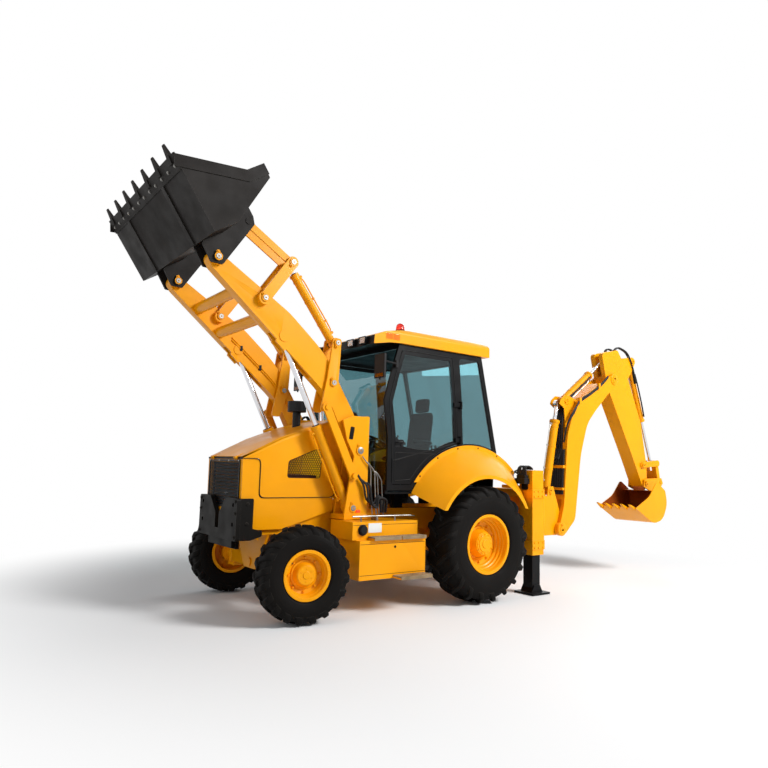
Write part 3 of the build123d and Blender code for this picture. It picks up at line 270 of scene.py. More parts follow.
# %% The paint shop's card
finish("yellow_paint", (0.90, 0.355, 0.001), 0.88, 1.3, 260, 0.05, (0.28, 0.40), coat=0.04, shine=0.14,
       dusty=0.03)
finish("black_paint", (0.004, 0.004, 0.0045), 0.75, 3.0, 300, 0.06, (0.28, 0.42), shine=0.12, dusty=0.01)
finish("guard_paint", (0.009, 0.008, 0.007), 0.6, 4.0, 200, 0.10, (0.45, 0.60), shine=0.08,
       worn=(0.07, 0.06, 0.05), dusty=0.02)
finish("bucket_paint", (0.016, 0.0135, 0.012), 0.6, 3.0, 140, 0.10, (0.45, 0.60), shine=0.10,
       worn=(0.060, 0.053, 0.046), dusty=0.03)
finish("bare_steel", (0.30, 0.29, 0.27), 0.6, 12.0, 90, 0.2, (0.3, 0.5), metal=0.9, dusty=0.1)
finish("pin_steel", (0.42, 0.40, 0.37), 0.7, 20.0, 200, 0.1, (0.25, 0.45), metal=1.0)
finish("rod_chrome", (0.75, 0.75, 0.77), 0.97, 6.0, 500, 0.01, (0.06, 0.12), metal=1.0)
finish("tyre_rubber", (0.0065, 0.0055, 0.0048), 0.6, 5.0, 350, 0.25, (0.60, 0.78), shine=0.08,
       worn=(0.030, 0.027, 0.023), wear_radius=0.008, dusty=0.05, dust_colour=(0.06, 0.05, 0.04, 1))
finish("hose_rubber", (0.008, 0.008, 0.009), 0.8, 20.0, 600, 0.1, (0.40, 0.60), shine=0.25)
finish("seal_rubber", (0.006, 0.006, 0.006), 0.8, 10.0, 600, 0.1, (0.5, 0.7), shine=0.2)
finish("black_plastic", (0.009, 0.009, 0.010), 0.85, 4.0, 700, 0.12, (0.4, 0.55), shine=0.15, dusty=0.04)
finish("cast_block", (0.06, 0.06, 0.065), 0.6, 8.0, 120, 0.4, (0.6, 0.8))
finish("tread_metal", (0.34, 0.24, 0.13), 0.45, 9.0, 90, 0.4, (0.6, 0.85), dusty=0.7,
       dust_colour=(0.42, 0.33, 0.22, 1))
finish("zinc", (0.55, 0.53, 0.48), 0.8, 30.0, 300, 0.1, (0.3, 0.45), metal=1.0)
finish("seat_cloth", (0.016, 0.016, 0.018), 0.7, 30.0, 900, 0.6, (0.8, 0.95), shine=0.1)
finish("vent_mesh", (0.085, 0.020, 0.006), 0.7, 20.0, 400, 0.1, (0.5, 0.7), shine=0.15)
# painted shade: a dark red-brown that stands in for the shadow inside the backhoe bucket's scoop
finish("scoop_painted_shade", (0.30, 0.060, 0.004), 0.55, 6.0, 120, 0.3, (0.6, 0.8), shine=0.1)
finish("white_plate", (0.75, 0.75, 0.72), 0.95, 8.0, 300, 0.03, (0.3, 0.4))
finish("mirror_face", (0.75, 0.78, 0.8), 0.99, 1.0, 100, 0.0, (0.02, 0.03), metal=1.0)
print("finishes", len(FINISH))

# %% [markdown]
# Glass is the one finish that bends light instead of hiding what is behind. A plain transmission shader
# would throw a dark shadow into the cab, so for shadow rays the material turns clear and lets the lamps
# through. The same recipe with a strong tint serves for the amber and red lamps.

# %% Glass finishes
def glass(name, colour, rough=0.0, tint=(0.8, 0.86, 0.86)):
    """Makes a clear or tinted glass that lets shadow rays through."""
    made = bpy.data.materials.new(name)
    made.use_nodes = True
    tree = made.node_tree
    shader = tree.nodes["Principled BSDF"]
    shader.inputs["Base Color"].default_value = (*colour, 1)
    shader.inputs["Roughness"].default_value = rough
    shader.inputs["Transmission Weight"].default_value = 1.0
    shader.inputs["IOR"].default_value = 1.45
    clear = node(tree, "ShaderNodeBsdfTransparent", s_Color=(*tint, 1))
    path = node(tree, "ShaderNodeLightPath")
    blend = node(tree, "ShaderNodeMixShader", {0: path.outputs["Is Shadow Ray"]})
    tree.links.new(shader.outputs["BSDF"], blend.inputs[1])
    tree.links.new(clear.outputs["BSDF"], blend.inputs[2])
    tree.links.new(blend.outputs["Shader"], tree.nodes["Material Output"].inputs["Surface"])
    FINISH[name] = made
    return made


glass("tinted_glass", (0.29, 0.46, 0.49))
glass("lamp_glass", (0.9, 0.92, 0.92), 0.05)
glass("amber_glass", (1.0, 0.32, 0.02), 0.1, (1.0, 0.5, 0.2))
glass("red_glass", (0.9, 0.03, 0.01), 0.1, (1.0, 0.3, 0.2))
print("glass", sorted(k for k in FINISH if k.endswith("glass")))

# %% [markdown]
# ## Rounding the solids
# Real plate has no razor edges: a cut edge is broken with a grinder, and a bent or cast one is round. A
# rounded edge catches a thin line of light, and that line is most of what makes metal look like metal.
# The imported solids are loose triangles, which no tool can round, so each one is copied, its triangles are
# sewn together, flat neighbours are melted into single faces, and a Bevel modifier rounds what is left.

# %% Dress a solid
def shade(mesh, angle):
    """Shades a mesh smoothly, apart from edges that turn by more than angle degrees."""
    mesh.polygons.foreach_set("use_smooth", np.ones(len(mesh.polygons), bool))
    mesh.set_sharp_from_angle(angle=radians(angle))


def round_edges(obj, width):
    """Gives a piece a Bevel modifier that rounds edges of 30 degrees or more in two steps."""
    bevel = obj.modifiers.new("rounded", "BEVEL")
    bevel.width = width
    bevel.segments = 2
    bevel.limit_method = "ANGLE"
    bevel.angle_limit = radians(30)
    bevel.harden_normals = True
    bevel.use_clamp_overlap = True


def dress(name, material, width, keep=None, called=None, melt=True, second=None, where=None):
    """Puts a sewn and rounded copy of a CAD node, or of the part that keep picks, in its place.

    A second material goes on the faces for which where(middle, outward direction) is true.
    """
    called = called or name + "_dressed"
    mesh = frame["nodes"][name].data.copy()
    mesh.name = called
    mesh.materials.clear()
    mesh.materials.append(FINISH[material])
    sewn = bmesh.new()
    sewn.from_mesh(mesh)
    bmesh.ops.remove_doubles(sewn, verts=sewn.verts, dist=0.00002)
    if melt:
        bmesh.ops.dissolve_limit(sewn, angle_limit=radians(0.6), verts=sewn.verts, edges=sewn.edges)
    if keep is not None:
        gone = [v for v in sewn.verts if not keep(v.co)]
        bmesh.ops.delete(sewn, geom=gone, context="VERTS")
    bmesh.ops.recalc_face_normals(sewn, faces=sewn.faces)
    if second is not None:
        mesh.materials.append(FINISH[second])
        for face in sewn.faces:
            face.material_index = int(where(face.calc_center_median(), face.normal))
    sewn.to_mesh(mesh)
    sewn.free()
    shade(mesh, 32)
    made = bpy.data.objects.new(called, mesh)
    bpy.context.scene.collection.objects.link(made)
    if width:
        round_edges(made, width)
    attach(made, BODY_OF[name])
    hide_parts(name)
    return made


print("nodes to dress", len(frame["nodes"]))

# %% [markdown]
# Which solid gets which finish, and how round its edges are, is a plain list: finish, edge in metres, nodes.
# A few solids need more than one finish, such as the roof with its black visor or the doors with their
# panes, and each picks the faces or points of the second one by a rule on their place.

# %% Which solid gets which finish
DRESSED = {
    "yellow_paint": {
        0.005: ["axles", "loader_arms", "rear_levers", "levelling_links", "tilt_levers", "bucket_links",
                "loader_towers", "carriage", "kingpost", "boom", "dipper", "tipping_levers", "tipping_link"],
        0.010: ["bonnet", "body_panels", "side_boxes", "fenders"],
        0.003: ["lift_barrels", "tilt_barrels", "boom_barrel", "dipper_barrel", "hoe_bucket_barrel",
                "knuckle_left", "knuckle_right", "rear_rim_left", "rear_rim_right", "front_rim_left",
                "front_rim_right"],
},
    "black_paint": {0.006: ["cab_frame", "stabilizer_left", "stabilizer_right"]},
    "guard_paint": {0.006: ["front_guard"]},
    "bucket_paint": {0.004: ["loader_bucket"]},
    "black_plastic": {0.004: ["air_precleaner", "cab_fittings"]},
    "pin_steel": {0.003: ["lever_pins", "bucket_pins", "top_pins", "tilt_base_pins"]},
    "rod_chrome": {0.002: ["lift_rods", "tilt_rods", "boom_rod", "dipper_rod", "hoe_bucket_rod", "exhaust"]},
    "cast_block": {0.010: ["engine_block"]},
}
pieces = {}
for material, widths in DRESSED.items():
    for width, names in widths.items():
        for name in names:
            pieces[name] = dress(name, material, width)
pieces["cab_glass"] = dress("cab_glass", "tinted_glass", 0.0)
pieces["grille"] = dress("grille", "black_paint", 0.0, melt=False)
pieces["cab_roof"] = dress("cab_roof", "yellow_paint", 0.020, second="black_paint",
                           where=lambda at, out: at.x > 1.27 and (out.z < -0.3 or out.x > 0.8))
pieces["chassis_frame"] = dress("chassis_frame", "yellow_paint", 0.005, second="guard_paint",
                                where=lambda at, out: at.x > 2.88 and at.z < 0.9)
# The faces inside the backhoe bucket's scoop, those that look towards its middle, get painted shade: a dark
# red-brown in place of the yellow.
SCOOP = Vector((-3.56, 0.58, 1.02))
pieces["hoe_bucket"] = dress("hoe_bucket", "yellow_paint", 0.004, second="scoop_painted_shade",
                             where=lambda at, out: (SCOOP - at).dot(out) > 0.10 and at.x < -3.15)
pieces["lamps_and_mirrors"] = dress("lamps_and_mirrors", "black_plastic", 0.004, keep=lambda at: at.z < 3.03)
PANE_Y = (0.7525, 0.7595)


def in_pane(at):
    """Tells whether a point of a door lies in its glass."""
    return PANE_Y[0] < abs(at.y) < PANE_Y[1]


for name in ("door_left", "door_right"):
    pieces[name] = dress(name, "black_paint", 0.004, keep=lambda at: not in_pane(at))
    pane = dress(name, "tinted_glass", 0.0, keep=in_pane, called=name + "_pane")
    pieces[name + "_pane"] = pane
print("dressed", len(pieces), "of", len(frame["nodes"]))

# %% [markdown]
# ## Shapes from numbers
# Every new piece starts as a grid of points that a formula fills in one go. A part is a pair: its points and
# its faces, and parts are joined before they become an object. Places are written in millimetres from the
# rear axle, as on the machine's drawings, and one function turns them into metres in the machine's frame.

# %% Places and grids
HANDS = (1, -1)
UP, FORWARD = (0, 0, 1), (1, 0, 0)


def row(x, y, z):
    """Returns a place given in millimetres from the rear axle, as metres in the machine's own frame."""
    return np.array([x + 261.0, y, z]) / 1000


def route(y, *pairs):
    """Returns places at one y from (x, z) pairs in millimetres."""
    return [row(x, y, z) for x, z in pairs]


def across(hand, *places):
    """Returns places from (x, y, z) in millimetres, on the side that hand gives."""
    return [row(x, hand * y, z) for x, y, z in places]


def surface_of(grid, loop_u=False, loop_v=False, caps=False):
    """Returns a part from points by line and place; a looped side joins its last line to its first."""
    nu, nv = grid.shape[:2]
    a, b = np.meshgrid(np.arange(nu if loop_u else nu - 1), np.arange(nv if loop_v else nv - 1), indexing="ij")
    c, d = (a + 1) % nu, (b + 1) % nv
    faces = np.stack([a * nv + b, c * nv + b, c * nv + d, a * nv + d], -1).reshape(-1, 4).tolist()
    if caps:
        faces += [list(range(nv)), list(range((nu - 1) * nv, nu * nv))]
    return grid.reshape(-1, 3), faces


def joined(parts):
    """Puts parts together as one."""
    starts = np.cumsum([0] + [len(points) for points, faces in parts])
    faces = [[corner + int(start) for corner in face] for (points, part), start in zip(parts, starts)
             for face in part]
    return np.concatenate([points for points, part in parts]), faces


print("the rear axle is at", row(0, 0, 655))

# %% [markdown]
# A ring that turns about an axis makes wheels, nuts and lamps. The profile is a short list of places along
# the axis with the radius at each, and a disc or a ring with a square section is four of them.

# %% Turned parts
def spun(profile, turns=48, closed=False):
    """Turns (along, radius) pairs about the Y axis: a point is (radius sin a, along, radius cos a)."""
    along, radius = np.array(profile, float).T[:, :, None]
    angle = np.linspace(0, 2 * pi, turns, endpoint=False)
    grid = np.stack([radius * np.sin(angle), along + 0 * angle, radius * np.cos(angle)], -1)
    return surface_of(grid, loop_u=closed, loop_v=True)


def placed(part, at, direction=(0, 1, 0)):
    """Moves a part made about the Y axis to a place, with Y along a direction."""
    turn = np.array(Vector(direction).to_track_quat("Y", "Z").to_matrix())
    return part[0] @ turn.T + np.array(at), part[1]


def turned(profile, turns, at, direction, closed=False):
    """Returns a turned part at a place, with its axis along a direction."""
    return placed(spun(profile, turns, closed), at, direction)


def copies(part, places, direction=(0, 1, 0)):
    """Repeats a part at each of many places."""
    return joined([placed(part, place, direction) for place in places])


def disc(radius, low, high):
    """Returns the profile of a plain disc."""
    return [(low, 0), (low, radius), (high, radius), (high, 0)]


def band(low, high, inner, outer):
    """Returns the profile of a ring with a square section."""
    return [(low, inner), (low, outer), (high, outer), (high, inner)]


print("a disc of 24 sides has", len(spun(disc(0.1, 0, 0.01), 24)[1]), "faces")

# %% [markdown]
# A flat outline that is carried along an axis makes plates. Pairs of low and high values are the shortest
# way to write a plain block, and its twin on the other side of the machine is the same line with hand -1.

# %% Plates
def prism(shape, low, high, axis="Y"):
    """Carries a closed outline along an axis: pairs are (X, Z) along Y and (X, Y) along Z."""
    outline = np.array(shape, float)
    both = np.stack([np.column_stack([outline, np.full(len(outline), level)]) for level in (low, high)])
    return surface_of(both[..., {"Y": (0, 2, 1), "Z": (0, 1, 2)}[axis]], loop_v=True, caps=True)


def slab(low, high):
    """Returns a plate between two opposite corners."""
    (x0, y0, z0), (x1, y1, z1) = low, high
    return prism([(x0, y0), (x1, y0), (x1, y1), (x0, y1)], z0, z1, "Z")


def block(x, y, z, hand=1):
    """Returns a plate between pairs of millimetres; hand -1 puts it on the machine's other side."""
    low, high = sorted((hand * y[0], hand * y[1]))
    return slab(row(x[0], low, z[0]), row(x[1], high, z[1]))


def flat(pairs):
    """Returns (x, z) pairs in millimetres as an outline in metres."""
    return [row(x, 0, z)[[0, 2]] for x, z in pairs]


def softened(shape, radius, steps=5):
    """Replaces each corner of a closed outline by a curve (1-t)^2 a + 2t(1-t) corner + t^2 b."""
    at = np.array(shape, float)
    before, after = np.roll(at, 1, 0) - at, np.roll(at, -1, 0) - at
    back, front = (np.linalg.norm(v, axis=1, keepdims=True) for v in (before, after))
    reach = np.minimum(radius, 0.45 * np.minimum(back, front))
    t = np.linspace(0, 1, steps)[:, None, None]
    a, b = at + before / back * reach, at + after / front * reach
    bend = (1 - t) ** 2 * a + 2 * t * (1 - t) * at + t ** 2 * b
    return bend.transpose(1, 0, 2).reshape(-1, 2)


print("a softened square has", len(softened([(0, 0), (1, 0), (1, 1), (0, 1)], 0.1)), "points")

# %% [markdown]
# A profile that is carried along a smooth line makes hoses, pipes and seams. The line goes through a few
# given places, and at each step the profile stands square to the line's slope.

# %% Lines and tubes
def smooth_line(points, steps=8):
    """Returns a smooth line through points: each stretch is a cubic, sloped by half its neighbours' step."""
    p = np.array(points, float)
    p = np.concatenate([[2 * p[0] - p[1]], p, [2 * p[-1] - p[-2]]])
    t = np.linspace(0, 1, steps, endpoint=False)[:, None]
    a, b, c, d = (p[i:len(p) - 3 + i, None] for i in range(4))
    line = 0.5 * (2 * b + (c - a) * t + (2 * a - 5 * b + 4 * c - d) * t ** 2 + (3 * b - a - 3 * c + d) * t ** 3)
    return np.concatenate([line.reshape(-1, p.shape[1]), p[-2:-1]])


def swept(points, profile, up=(0, 1, 0), steps=8, loop=False):
    """Carries a closed profile along a line, square to its slope; up is a direction the line never takes."""
    line = smooth_line(points, steps) if steps else np.array(points, float)
    slope = np.roll(line, -1, 0) - np.roll(line, 1, 0) if loop else np.gradient(line, axis=0)
    slope /= np.linalg.norm(slope, axis=1, keepdims=True)
    side = np.cross(slope, up)
    side /= np.linalg.norm(side, axis=1, keepdims=True)
    over = np.cross(side, slope)
    wide, out = np.array(profile, float).T[:, :, None]
    grid = line[:, None] + (wide * side[:, None] + out * over[:, None])
    return surface_of(grid, loop_u=loop, loop_v=True, caps=not loop)


def ring(radius, sides=10):
    """Returns a round profile."""
    angle = np.linspace(0, 2 * pi, sides, endpoint=False)
    return np.column_stack([np.cos(angle), np.sin(angle)]) * radius


def tube(points, radius, sides=10, up=(0, 1, 0), steps=8):
    """Returns a round bar or hose along a smooth line."""
    return swept(points, ring(radius, sides), up, steps)


print("a straight tube has", len(tube([(0, 0, 0), (1, 0, 0)], 0.01)[1]), "faces")

# %% [markdown]
# Bolts are everywhere on such a machine, and mostly in circles: a six-sided head on a round washer, with so
# few faces that hundreds of them cost nothing.

# %% Bolts and circles
def bolt(radius, height):
    """Returns a washer and a six-sided head that stand on y = 0."""
    head = [(height * 0.1, 0), (height * 0.1, radius), (height * 0.85, radius), (height, radius * 0.85),
            (height, 0)]
    return joined([spun(head, 6), spun(disc(radius * 1.35, -height * 0.3, height * 0.2), 12)])


def around(centre, radius, count, direction=(0, 1, 0), start=0.0):
    """Returns places on a circle that faces a direction."""
    angle = start + np.linspace(0, 2 * pi, count, endpoint=False)
    turn = np.array(Vector(direction).to_track_quat("Y", "Z").to_matrix())
    circle = np.column_stack([radius * np.sin(angle), 0 * angle, radius * np.cos(angle)])
    return circle @ turn.T + np.array(centre)


print("a bolt has", len(bolt(0.01, 0.01)[1]), "faces")

# %% [markdown]
# A part becomes a piece when it has a name, a finish and a body to ride on. Its doubled points are merged and
# its faces turned outward first, because a ring that closes on itself or a mirrored plate can face inward.


def piece(name, parts, material, body="chassis", bevel=0.0, angle=32):
    """Makes an object from parts: merges doubles, turns faces outward, paints it and puts it on its body."""
    points, faces = joined(parts if isinstance(parts, list) else [parts])
    mesh = bpy.data.meshes.new(name)
    mesh.from_pydata(points.tolist(), [], faces)
    clean = bmesh.new()
    clean.from_mesh(mesh)
    bmesh.ops.remove_doubles(clean, verts=clean.verts, dist=0.00001)
    bmesh.ops.recalc_face_normals(clean, faces=clean.faces)
    clean.to_mesh(mesh)
    clean.free()
    mesh.materials.append(FINISH[material])
    shade(mesh, angle)
    made = bpy.data.objects.new(name, mesh)
    bpy.context.scene.collection.objects.link(made)
    if bevel:
        round_edges(made, bevel)
    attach(made, body)
    pieces[name] = made
    return made


# %% [markdown]
# ## Tyres
# A tractor tyre is a round-shouldered carcass with deep slanted bars, called lugs, that bite from the
# middle of the tread over the shoulder and fade out on the sidewall. The carcass is one smooth profile
# turned about the axle. A lug is the same profile again, lifted by the tread's depth: its place along the
# profile is one parameter, its small closed section the other, and its angle round the wheel trails
# towards the shoulder, so that left and right rows make arrows. All lugs are worked out as one array.

# %% Carcass
def tyre_profile(half, crown, seat, flange):
    """Returns a smooth (along, radius) line from the middle of the tread to the bead."""
    return smooth_line([(0, crown), (0.30 * half, crown - 0.001), (0.58 * half, crown - 0.005),
                        (0.80 * half, crown - 0.018), (0.92 * half, crown - 0.055),
                        (0.975 * half, seat + (crown - seat) * 0.62),
                        (0.985 * half, seat + (crown - seat) * 0.42),
                        (0.92 * half, flange + (crown - flange) * 0.12), (0.80 * half, flange + 0.002),
                        (0.76 * half, seat)], 6)


def carcass(half, crown, seat, flange):
    """Turns the profile and its mirror image; two low rings stand on each sidewall."""
    line = tyre_profile(half, crown, seat, flange)
    rings = 0.0022 * np.exp(-((line[:, 1] - (flange + 0.022)) / 0.005) ** 2)
    rings += 0.0018 * np.exp(-((line[:, 1] - (seat + (crown - seat) * 0.55)) / 0.004) ** 2)
    line[:, 0] = np.minimum(line[:, 0] + rings, half * 0.998)
    return spun(np.concatenate([line[::-1], line[1:] * (-1, 1)]), 120)


print("carcass faces", len(carcass(0.2, 0.6, 0.3, 0.33)[1]))

# %% Lugs
def lugs(half, crown, seat, flange, depth, count, lean, width, fade, kink=0.0):
    """Lifts bars off the profile: place = profile + height * normal, angle = start - lean * share + side."""
    line = tyre_profile(half, crown, seat, flange)
    run = np.concatenate([[0], np.cumsum(np.hypot(*np.diff(line, axis=0).T))])
    end = np.interp(-(crown - fade), -line[:, 1], run)
    share = np.linspace(0, 1, 15)
    at = np.stack([np.interp(share * end, run, line[:, i]) for i in (0, 1)], -1)
    slope = np.gradient(at, axis=0)
    normal = np.stack([-slope[:, 1], slope[:, 0]], -1) / np.hypot(*slope.T)[:, None]
    rise = depth * np.interp(share, [0, 0.68, 1], [1.0, 1.0, 0.12])
    side = np.array([-1.35, -1.0, -0.72, 0.72, 1.0, 1.35])
    lift = np.array([-0.25, 0.80, 1.0, 1.0, 0.80, -0.25])
    wide = width / 2 * np.interp(share, [0, 0.5, 1], [0.85, 1.0, 1.12])
    spot = at[:, None] + normal[:, None] * (rise[:, None] * lift)[..., None]
    along = np.clip(spot[..., 0], -0.994 * half, 0.994 * half)
    radius = np.minimum(spot[..., 1], crown + depth)
    trail = -lean * (share + kink * np.sin(2 * pi * share))
    bars_round = []
    for hand in HANDS:
        start = np.arange(count) * 2 * pi / count + (0 if hand > 0 else pi / count)
        angle = start[:, None, None] + trail[:, None] + wide[:, None] * side / radius
        grid = np.stack([radius * np.sin(angle), hand * along + 0 * angle, radius * np.cos(angle)], -1)
        bars_round += [surface_of(bar, loop_v=True, caps=True) for bar in grid]
    return joined(bars_round)


print("a tread of 20 lugs a side has", len(lugs(0.2, 0.6, 0.3, 0.33, 0.03, 20, 0.27, 0.05, 0.08)[1]), "faces")

# %% [markdown]
# The front wheels stand a little steered, as in the photograph, so each wheel is a middle and an outward
# direction. The tyre's rubber is made about the Y axis and then placed with Y along that direction.

# %% Four tyres
STEER = radians(-7.5)
WHEELS = {}
for hand, side in ((1, "left"), (-1, "right")):
    WHEELS["rear_" + side] = (np.array([0.261, hand * 0.995, 0.655]), np.array([0.0, hand, 0.0]), hand)
    out = np.array([-hand * sin(STEER), hand * cos(STEER), 0.0])
    WHEELS["front_" + side] = (np.array([2.491, hand * 0.720, 0.462]) + 0.199 * out, out, hand)
TYRES = {"rear": dict(half=0.215, crown=0.618, seat=0.312, flange=0.334),
         "front": dict(half=0.161, crown=0.438, seat=0.216, flange=0.238)}
TREADS = {"rear": dict(depth=0.0365, count=20, lean=0.27, width=0.052, fade=0.085),
          "front": dict(depth=0.0235, count=20, lean=0.20, width=0.056, fade=0.060, kink=0.05)}
for wheel, (centre, out, hand) in WHEELS.items():
    end, side = wheel.split("_")
    lean = TREADS[end]["lean"] * hand
    rubber = joined([carcass(**TYRES[end]), lugs(**TYRES[end], **{**TREADS[end], "lean": lean})])
    made = piece(wheel.replace("_", "_tyre_"), placed(rubber, centre, out), "tyre_rubber",
                 "%s_wheel_%s" % (end, side), angle=38)
    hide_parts("%s_tyre_%s" % (end, side))
print("tyre faces", {name: len(made.data.polygons) for name, made in pieces.items() if "tyre" in name})

# %% [markdown]
# ## Wheels
# The pressed rim steps inwards in rings, each a place where the sheet is folded, and the disc is held by a
# circle of nuts. The hub that sticks out of it holds the reduction gears under a bolted cover. The solids
# have the flanges, disc and hub, so the steps, nuts, cover and valve are laid on them here.

# %% Rim rings, nuts and hub covers
RIM_STEPS = {"rear": [(0.1795, 0.3035), (0.174, 0.298), (0.160, 0.295), (0.126, 0.292), (0.120, 0.285),
                      (0.092, 0.282), (0.084, 0.268), (0.056, 0.264), (0.046, 0.248), (0.030, 0.240),
                      (0.024, 0.3035)],
             "front": [(0.1365, 0.2075), (0.132, 0.203), (0.122, 0.200), (0.106, 0.198), (0.100, 0.191),
                       (0.078, 0.188), (0.066, 0.180), (0.055, 0.176), (0.050, 0.2075)]}
HUB_COVER = {"rear": [(0.100, 0), (0.100, 0.118), (0.116, 0.114), (0.116, 0.094), (0.124, 0.090),
                      (0.124, 0.050), (0.131, 0.046), (0.131, 0)],
             "front": [(0.098, 0), (0.098, 0.090), (0.110, 0.087), (0.110, 0.036), (0.117, 0.033), (0.117, 0)]}
HUB_FOOT = {"rear": [(0.004, 0.170), (0.004, 0.192), (0.022, 0.189), (0.028, 0.168)],
            "front": [(0.036, 0.122), (0.036, 0.139), (0.050, 0.136), (0.056, 0.118)]}
NUTS = {"rear": (0.212, 0.0155, 10, 0.0135), "front": (0.157, 0.0465, 8, 0.0110)}
COVER_BOLTS = {"rear": (0.104, 0.115, 12, 0.0065), "front": (0.060, 0.1095, 6, 0.0055)}
VALVE = {"rear": (0.279, 0.085), "front": (0.186, 0.075)}
VALVE_STEM = [(-0.03, 0.0), (-0.03, 0.006), (0.012, 0.0055), (0.012, 0.0075), (0.030, 0.0075), (0.032, 0.0)]
for wheel, (centre, out, hand) in WHEELS.items():
    end, side = wheel.split("_")
    body = "%s_wheel_%s" % (end, side)
    trim = joined([spun(RIM_STEPS[end], 96, True), spun(HUB_COVER[end], 64), spun(HUB_FOOT[end], 72, True)])
    piece(wheel + "_rim_rings", placed(trim, centre, out), "yellow_paint", body, bevel=0.002)
    nuts = []
    for (radius, level, count, size), tall in ((NUTS[end], 1.5), (COVER_BOLTS[end], 1.1)):
        nuts.append(copies(bolt(size, size * tall), around(centre + level * out, radius, count, out), out))
    piece(wheel + "_nuts", nuts, "yellow_paint", body)
    radius, level = VALVE[end]
    foot = around(centre + level * out, radius, 1, out, 0.9)[0]
    piece(wheel + "_valve", turned(VALVE_STEM, 12, foot, out), "seal_rubber", body)
print("wheel trim", sum("nuts" in name for name in pieces), "wheels")

# %% [markdown]
# ## The nose
# A black rubber strip closes the joint between the bonnet and the nose and keeps rain out. It follows the
# joint along the side, drops round the corner and runs on to the front, so it is one small rounded profile
# carried along a line with soft corners, and its twin on the other side is the same line with Y turned.

# %% Rubber seams
def soft_path(points, radius, steps=6):
    """Rounds the inner corners of an open (X, Z) line by curves (1-t)^2 a + 2t(1-t) corner + t^2 b."""
    at = np.array(points, float)
    t = np.linspace(0, 1, steps)[:, None]
    line = [at[:1]]
    for before, corner, after in zip(at[:-2], at[1:-1], at[2:]):
        ends = []
        for other in (before, after):
            away = np.linalg.norm(other - corner)
            ends.append(corner + (other - corner) / away * min(radius, 0.45 * away))
        line.append((1 - t) ** 2 * ends[0] + 2 * t * (1 - t) * corner + t ** 2 * ends[1])
    return np.concatenate(line + [at[-1:]])


STRIP = softened([(-9, -3), (9, -3), (9, 3), (-9, 3)], 2, 3) / 1000
seam = soft_path([(1560, 1290), (1640, 1152), (2515, 1152), (2515, 1542), (2706, 1542)], 60)
strips = [swept(route(hand * 441.5, *seam), STRIP[:, ::-1], steps=0) for hand in HANDS]
strips.append(swept([row(2711, y, 1542) for y in np.linspace(-441, 441, 9)], STRIP, FORWARD, 0))
piece("nose_seams", strips, "seal_rubber")
print("seams", len(strips))

# %% [markdown]
# The openings beside the engine are closed by a mesh with six-sided holes. A mesh like that is punched from
# one sheet, so it is built as the walls between the holes: each cell has three walls of its own, a short
# bar, and a wall stays when its middle lies inside the opening's outline.

# %% Six-sided mesh in the side openings
def inside(points, outline):
    """Tells for each (X, Z) point whether it lies inside a closed outline, by counting crossings."""
    a = np.array(outline, float)
    b = np.roll(a, -1, 0)
    x, z = points[:, 0, None], points[:, 1, None]
    between = (a[:, 1] > z) != (b[:, 1] > z)
    at = a[:, 0] + (z - a[:, 1]) / np.where(b[:, 1] == a[:, 1], 1, b[:, 1] - a[:, 1]) * (b[:, 0] - a[:, 0])
    return (between & (x < at)).sum(1) % 2 == 1


def bars(starts, ends, y, half, depth):
    """Returns flat bars between (X, Z) points: 8 corners and 6 faces each, worked out as one array."""
    run = ends - starts
    run /= np.linalg.norm(run, axis=1, keepdims=True)
    side = np.stack([-run[:, 1], run[:, 0]], -1) * half
    outline = np.stack([starts - run * half + side, ends + run * half + side, ends + run * half - side,
                        starts - run * half - side], 1)
    both = np.stack([np.insert(outline, 1, y, -1), np.insert(outline, 1, y + depth, -1)], 1)
    return joined([surface_of(bar, loop_v=True, caps=True) for bar in both])


VENT = [(2204, 1356), (2195, 1527), (1876, 1656), (1796, 1655), (1812, 1356)]
HOLE_PITCH = 27.0
i, j = np.meshgrid(np.arange(-2, 20), np.arange(-2, 16), indexing="ij")
cells = np.stack([1780 + HOLE_PITCH * (i + 0.5 * (j % 2)), 1340 + HOLE_PITCH * 0.866 * j], -1).reshape(-1, 2)
turns = np.radians(30 + 60 * np.arange(4))
corner = np.column_stack([np.cos(turns), np.sin(turns)]) * HOLE_PITCH / 3 ** 0.5
starts = np.concatenate([cells + corner[k] for k in range(3)])
ends = np.concatenate([cells + corner[k + 1] for k in range(3)])
kept = inside((starts + ends) / 2, VENT)
starts, ends = (np.array(flat(line[kept])) for line in (starts, ends))
vents = [bars(starts, ends, hand * 0.434 - 0.0015, 0.0022, 0.003) for hand in HANDS]
rim = softened(VENT, 30)
vents += [swept(route(hand * 440.5, *rim), ring(0.0035, 6), steps=0, loop=True) for hand in HANDS]
piece("bonnet_vents", vents, "vent_mesh", "bonnet")
print("walls of the mesh", len(starts), "a side")

# %% [markdown]
# The nose is covered by a black panel of welded wire that air passes through on its way to the radiator.
# The wires are thin square bars in two layers, and a folded frame holds their ends.

# %% Wire panel on the nose
WIRE_HALF, WIRE_LOW, WIRE_HIGH = 385, 1050, 1520
WIRE_STEP, WIRE = 14.0, 1.3
wires = [block((2713, 2715.6), (y - WIRE, y + WIRE), (WIRE_LOW, WIRE_HIGH))
         for y in np.arange(WIRE_STEP - WIRE_HALF, WIRE_HALF - 10, WIRE_STEP)]
wires += [block((2715, 2717.6), (-WIRE_HALF, WIRE_HALF), (z - WIRE, z + WIRE))
          for z in np.arange(WIRE_LOW + WIRE_STEP, WIRE_HIGH - 10, WIRE_STEP)]
for low in (WIRE_LOW - 8, WIRE_HIGH - 10):
    wires.append(block((2709, 2720), (-WIRE_HALF, WIRE_HALF), (low, low + 18)))
for low in (-WIRE_HALF - 8, WIRE_HALF - 10):
    wires.append(block((2709, 2720), (low, low + 18), (WIRE_LOW - 8, WIRE_HIGH + 8)))
piece("nose_wires", wires, "black_paint")
screws = [row(2720, y, z) for y in (-370, -125, 125, 370) for z in (1052, 1518)]
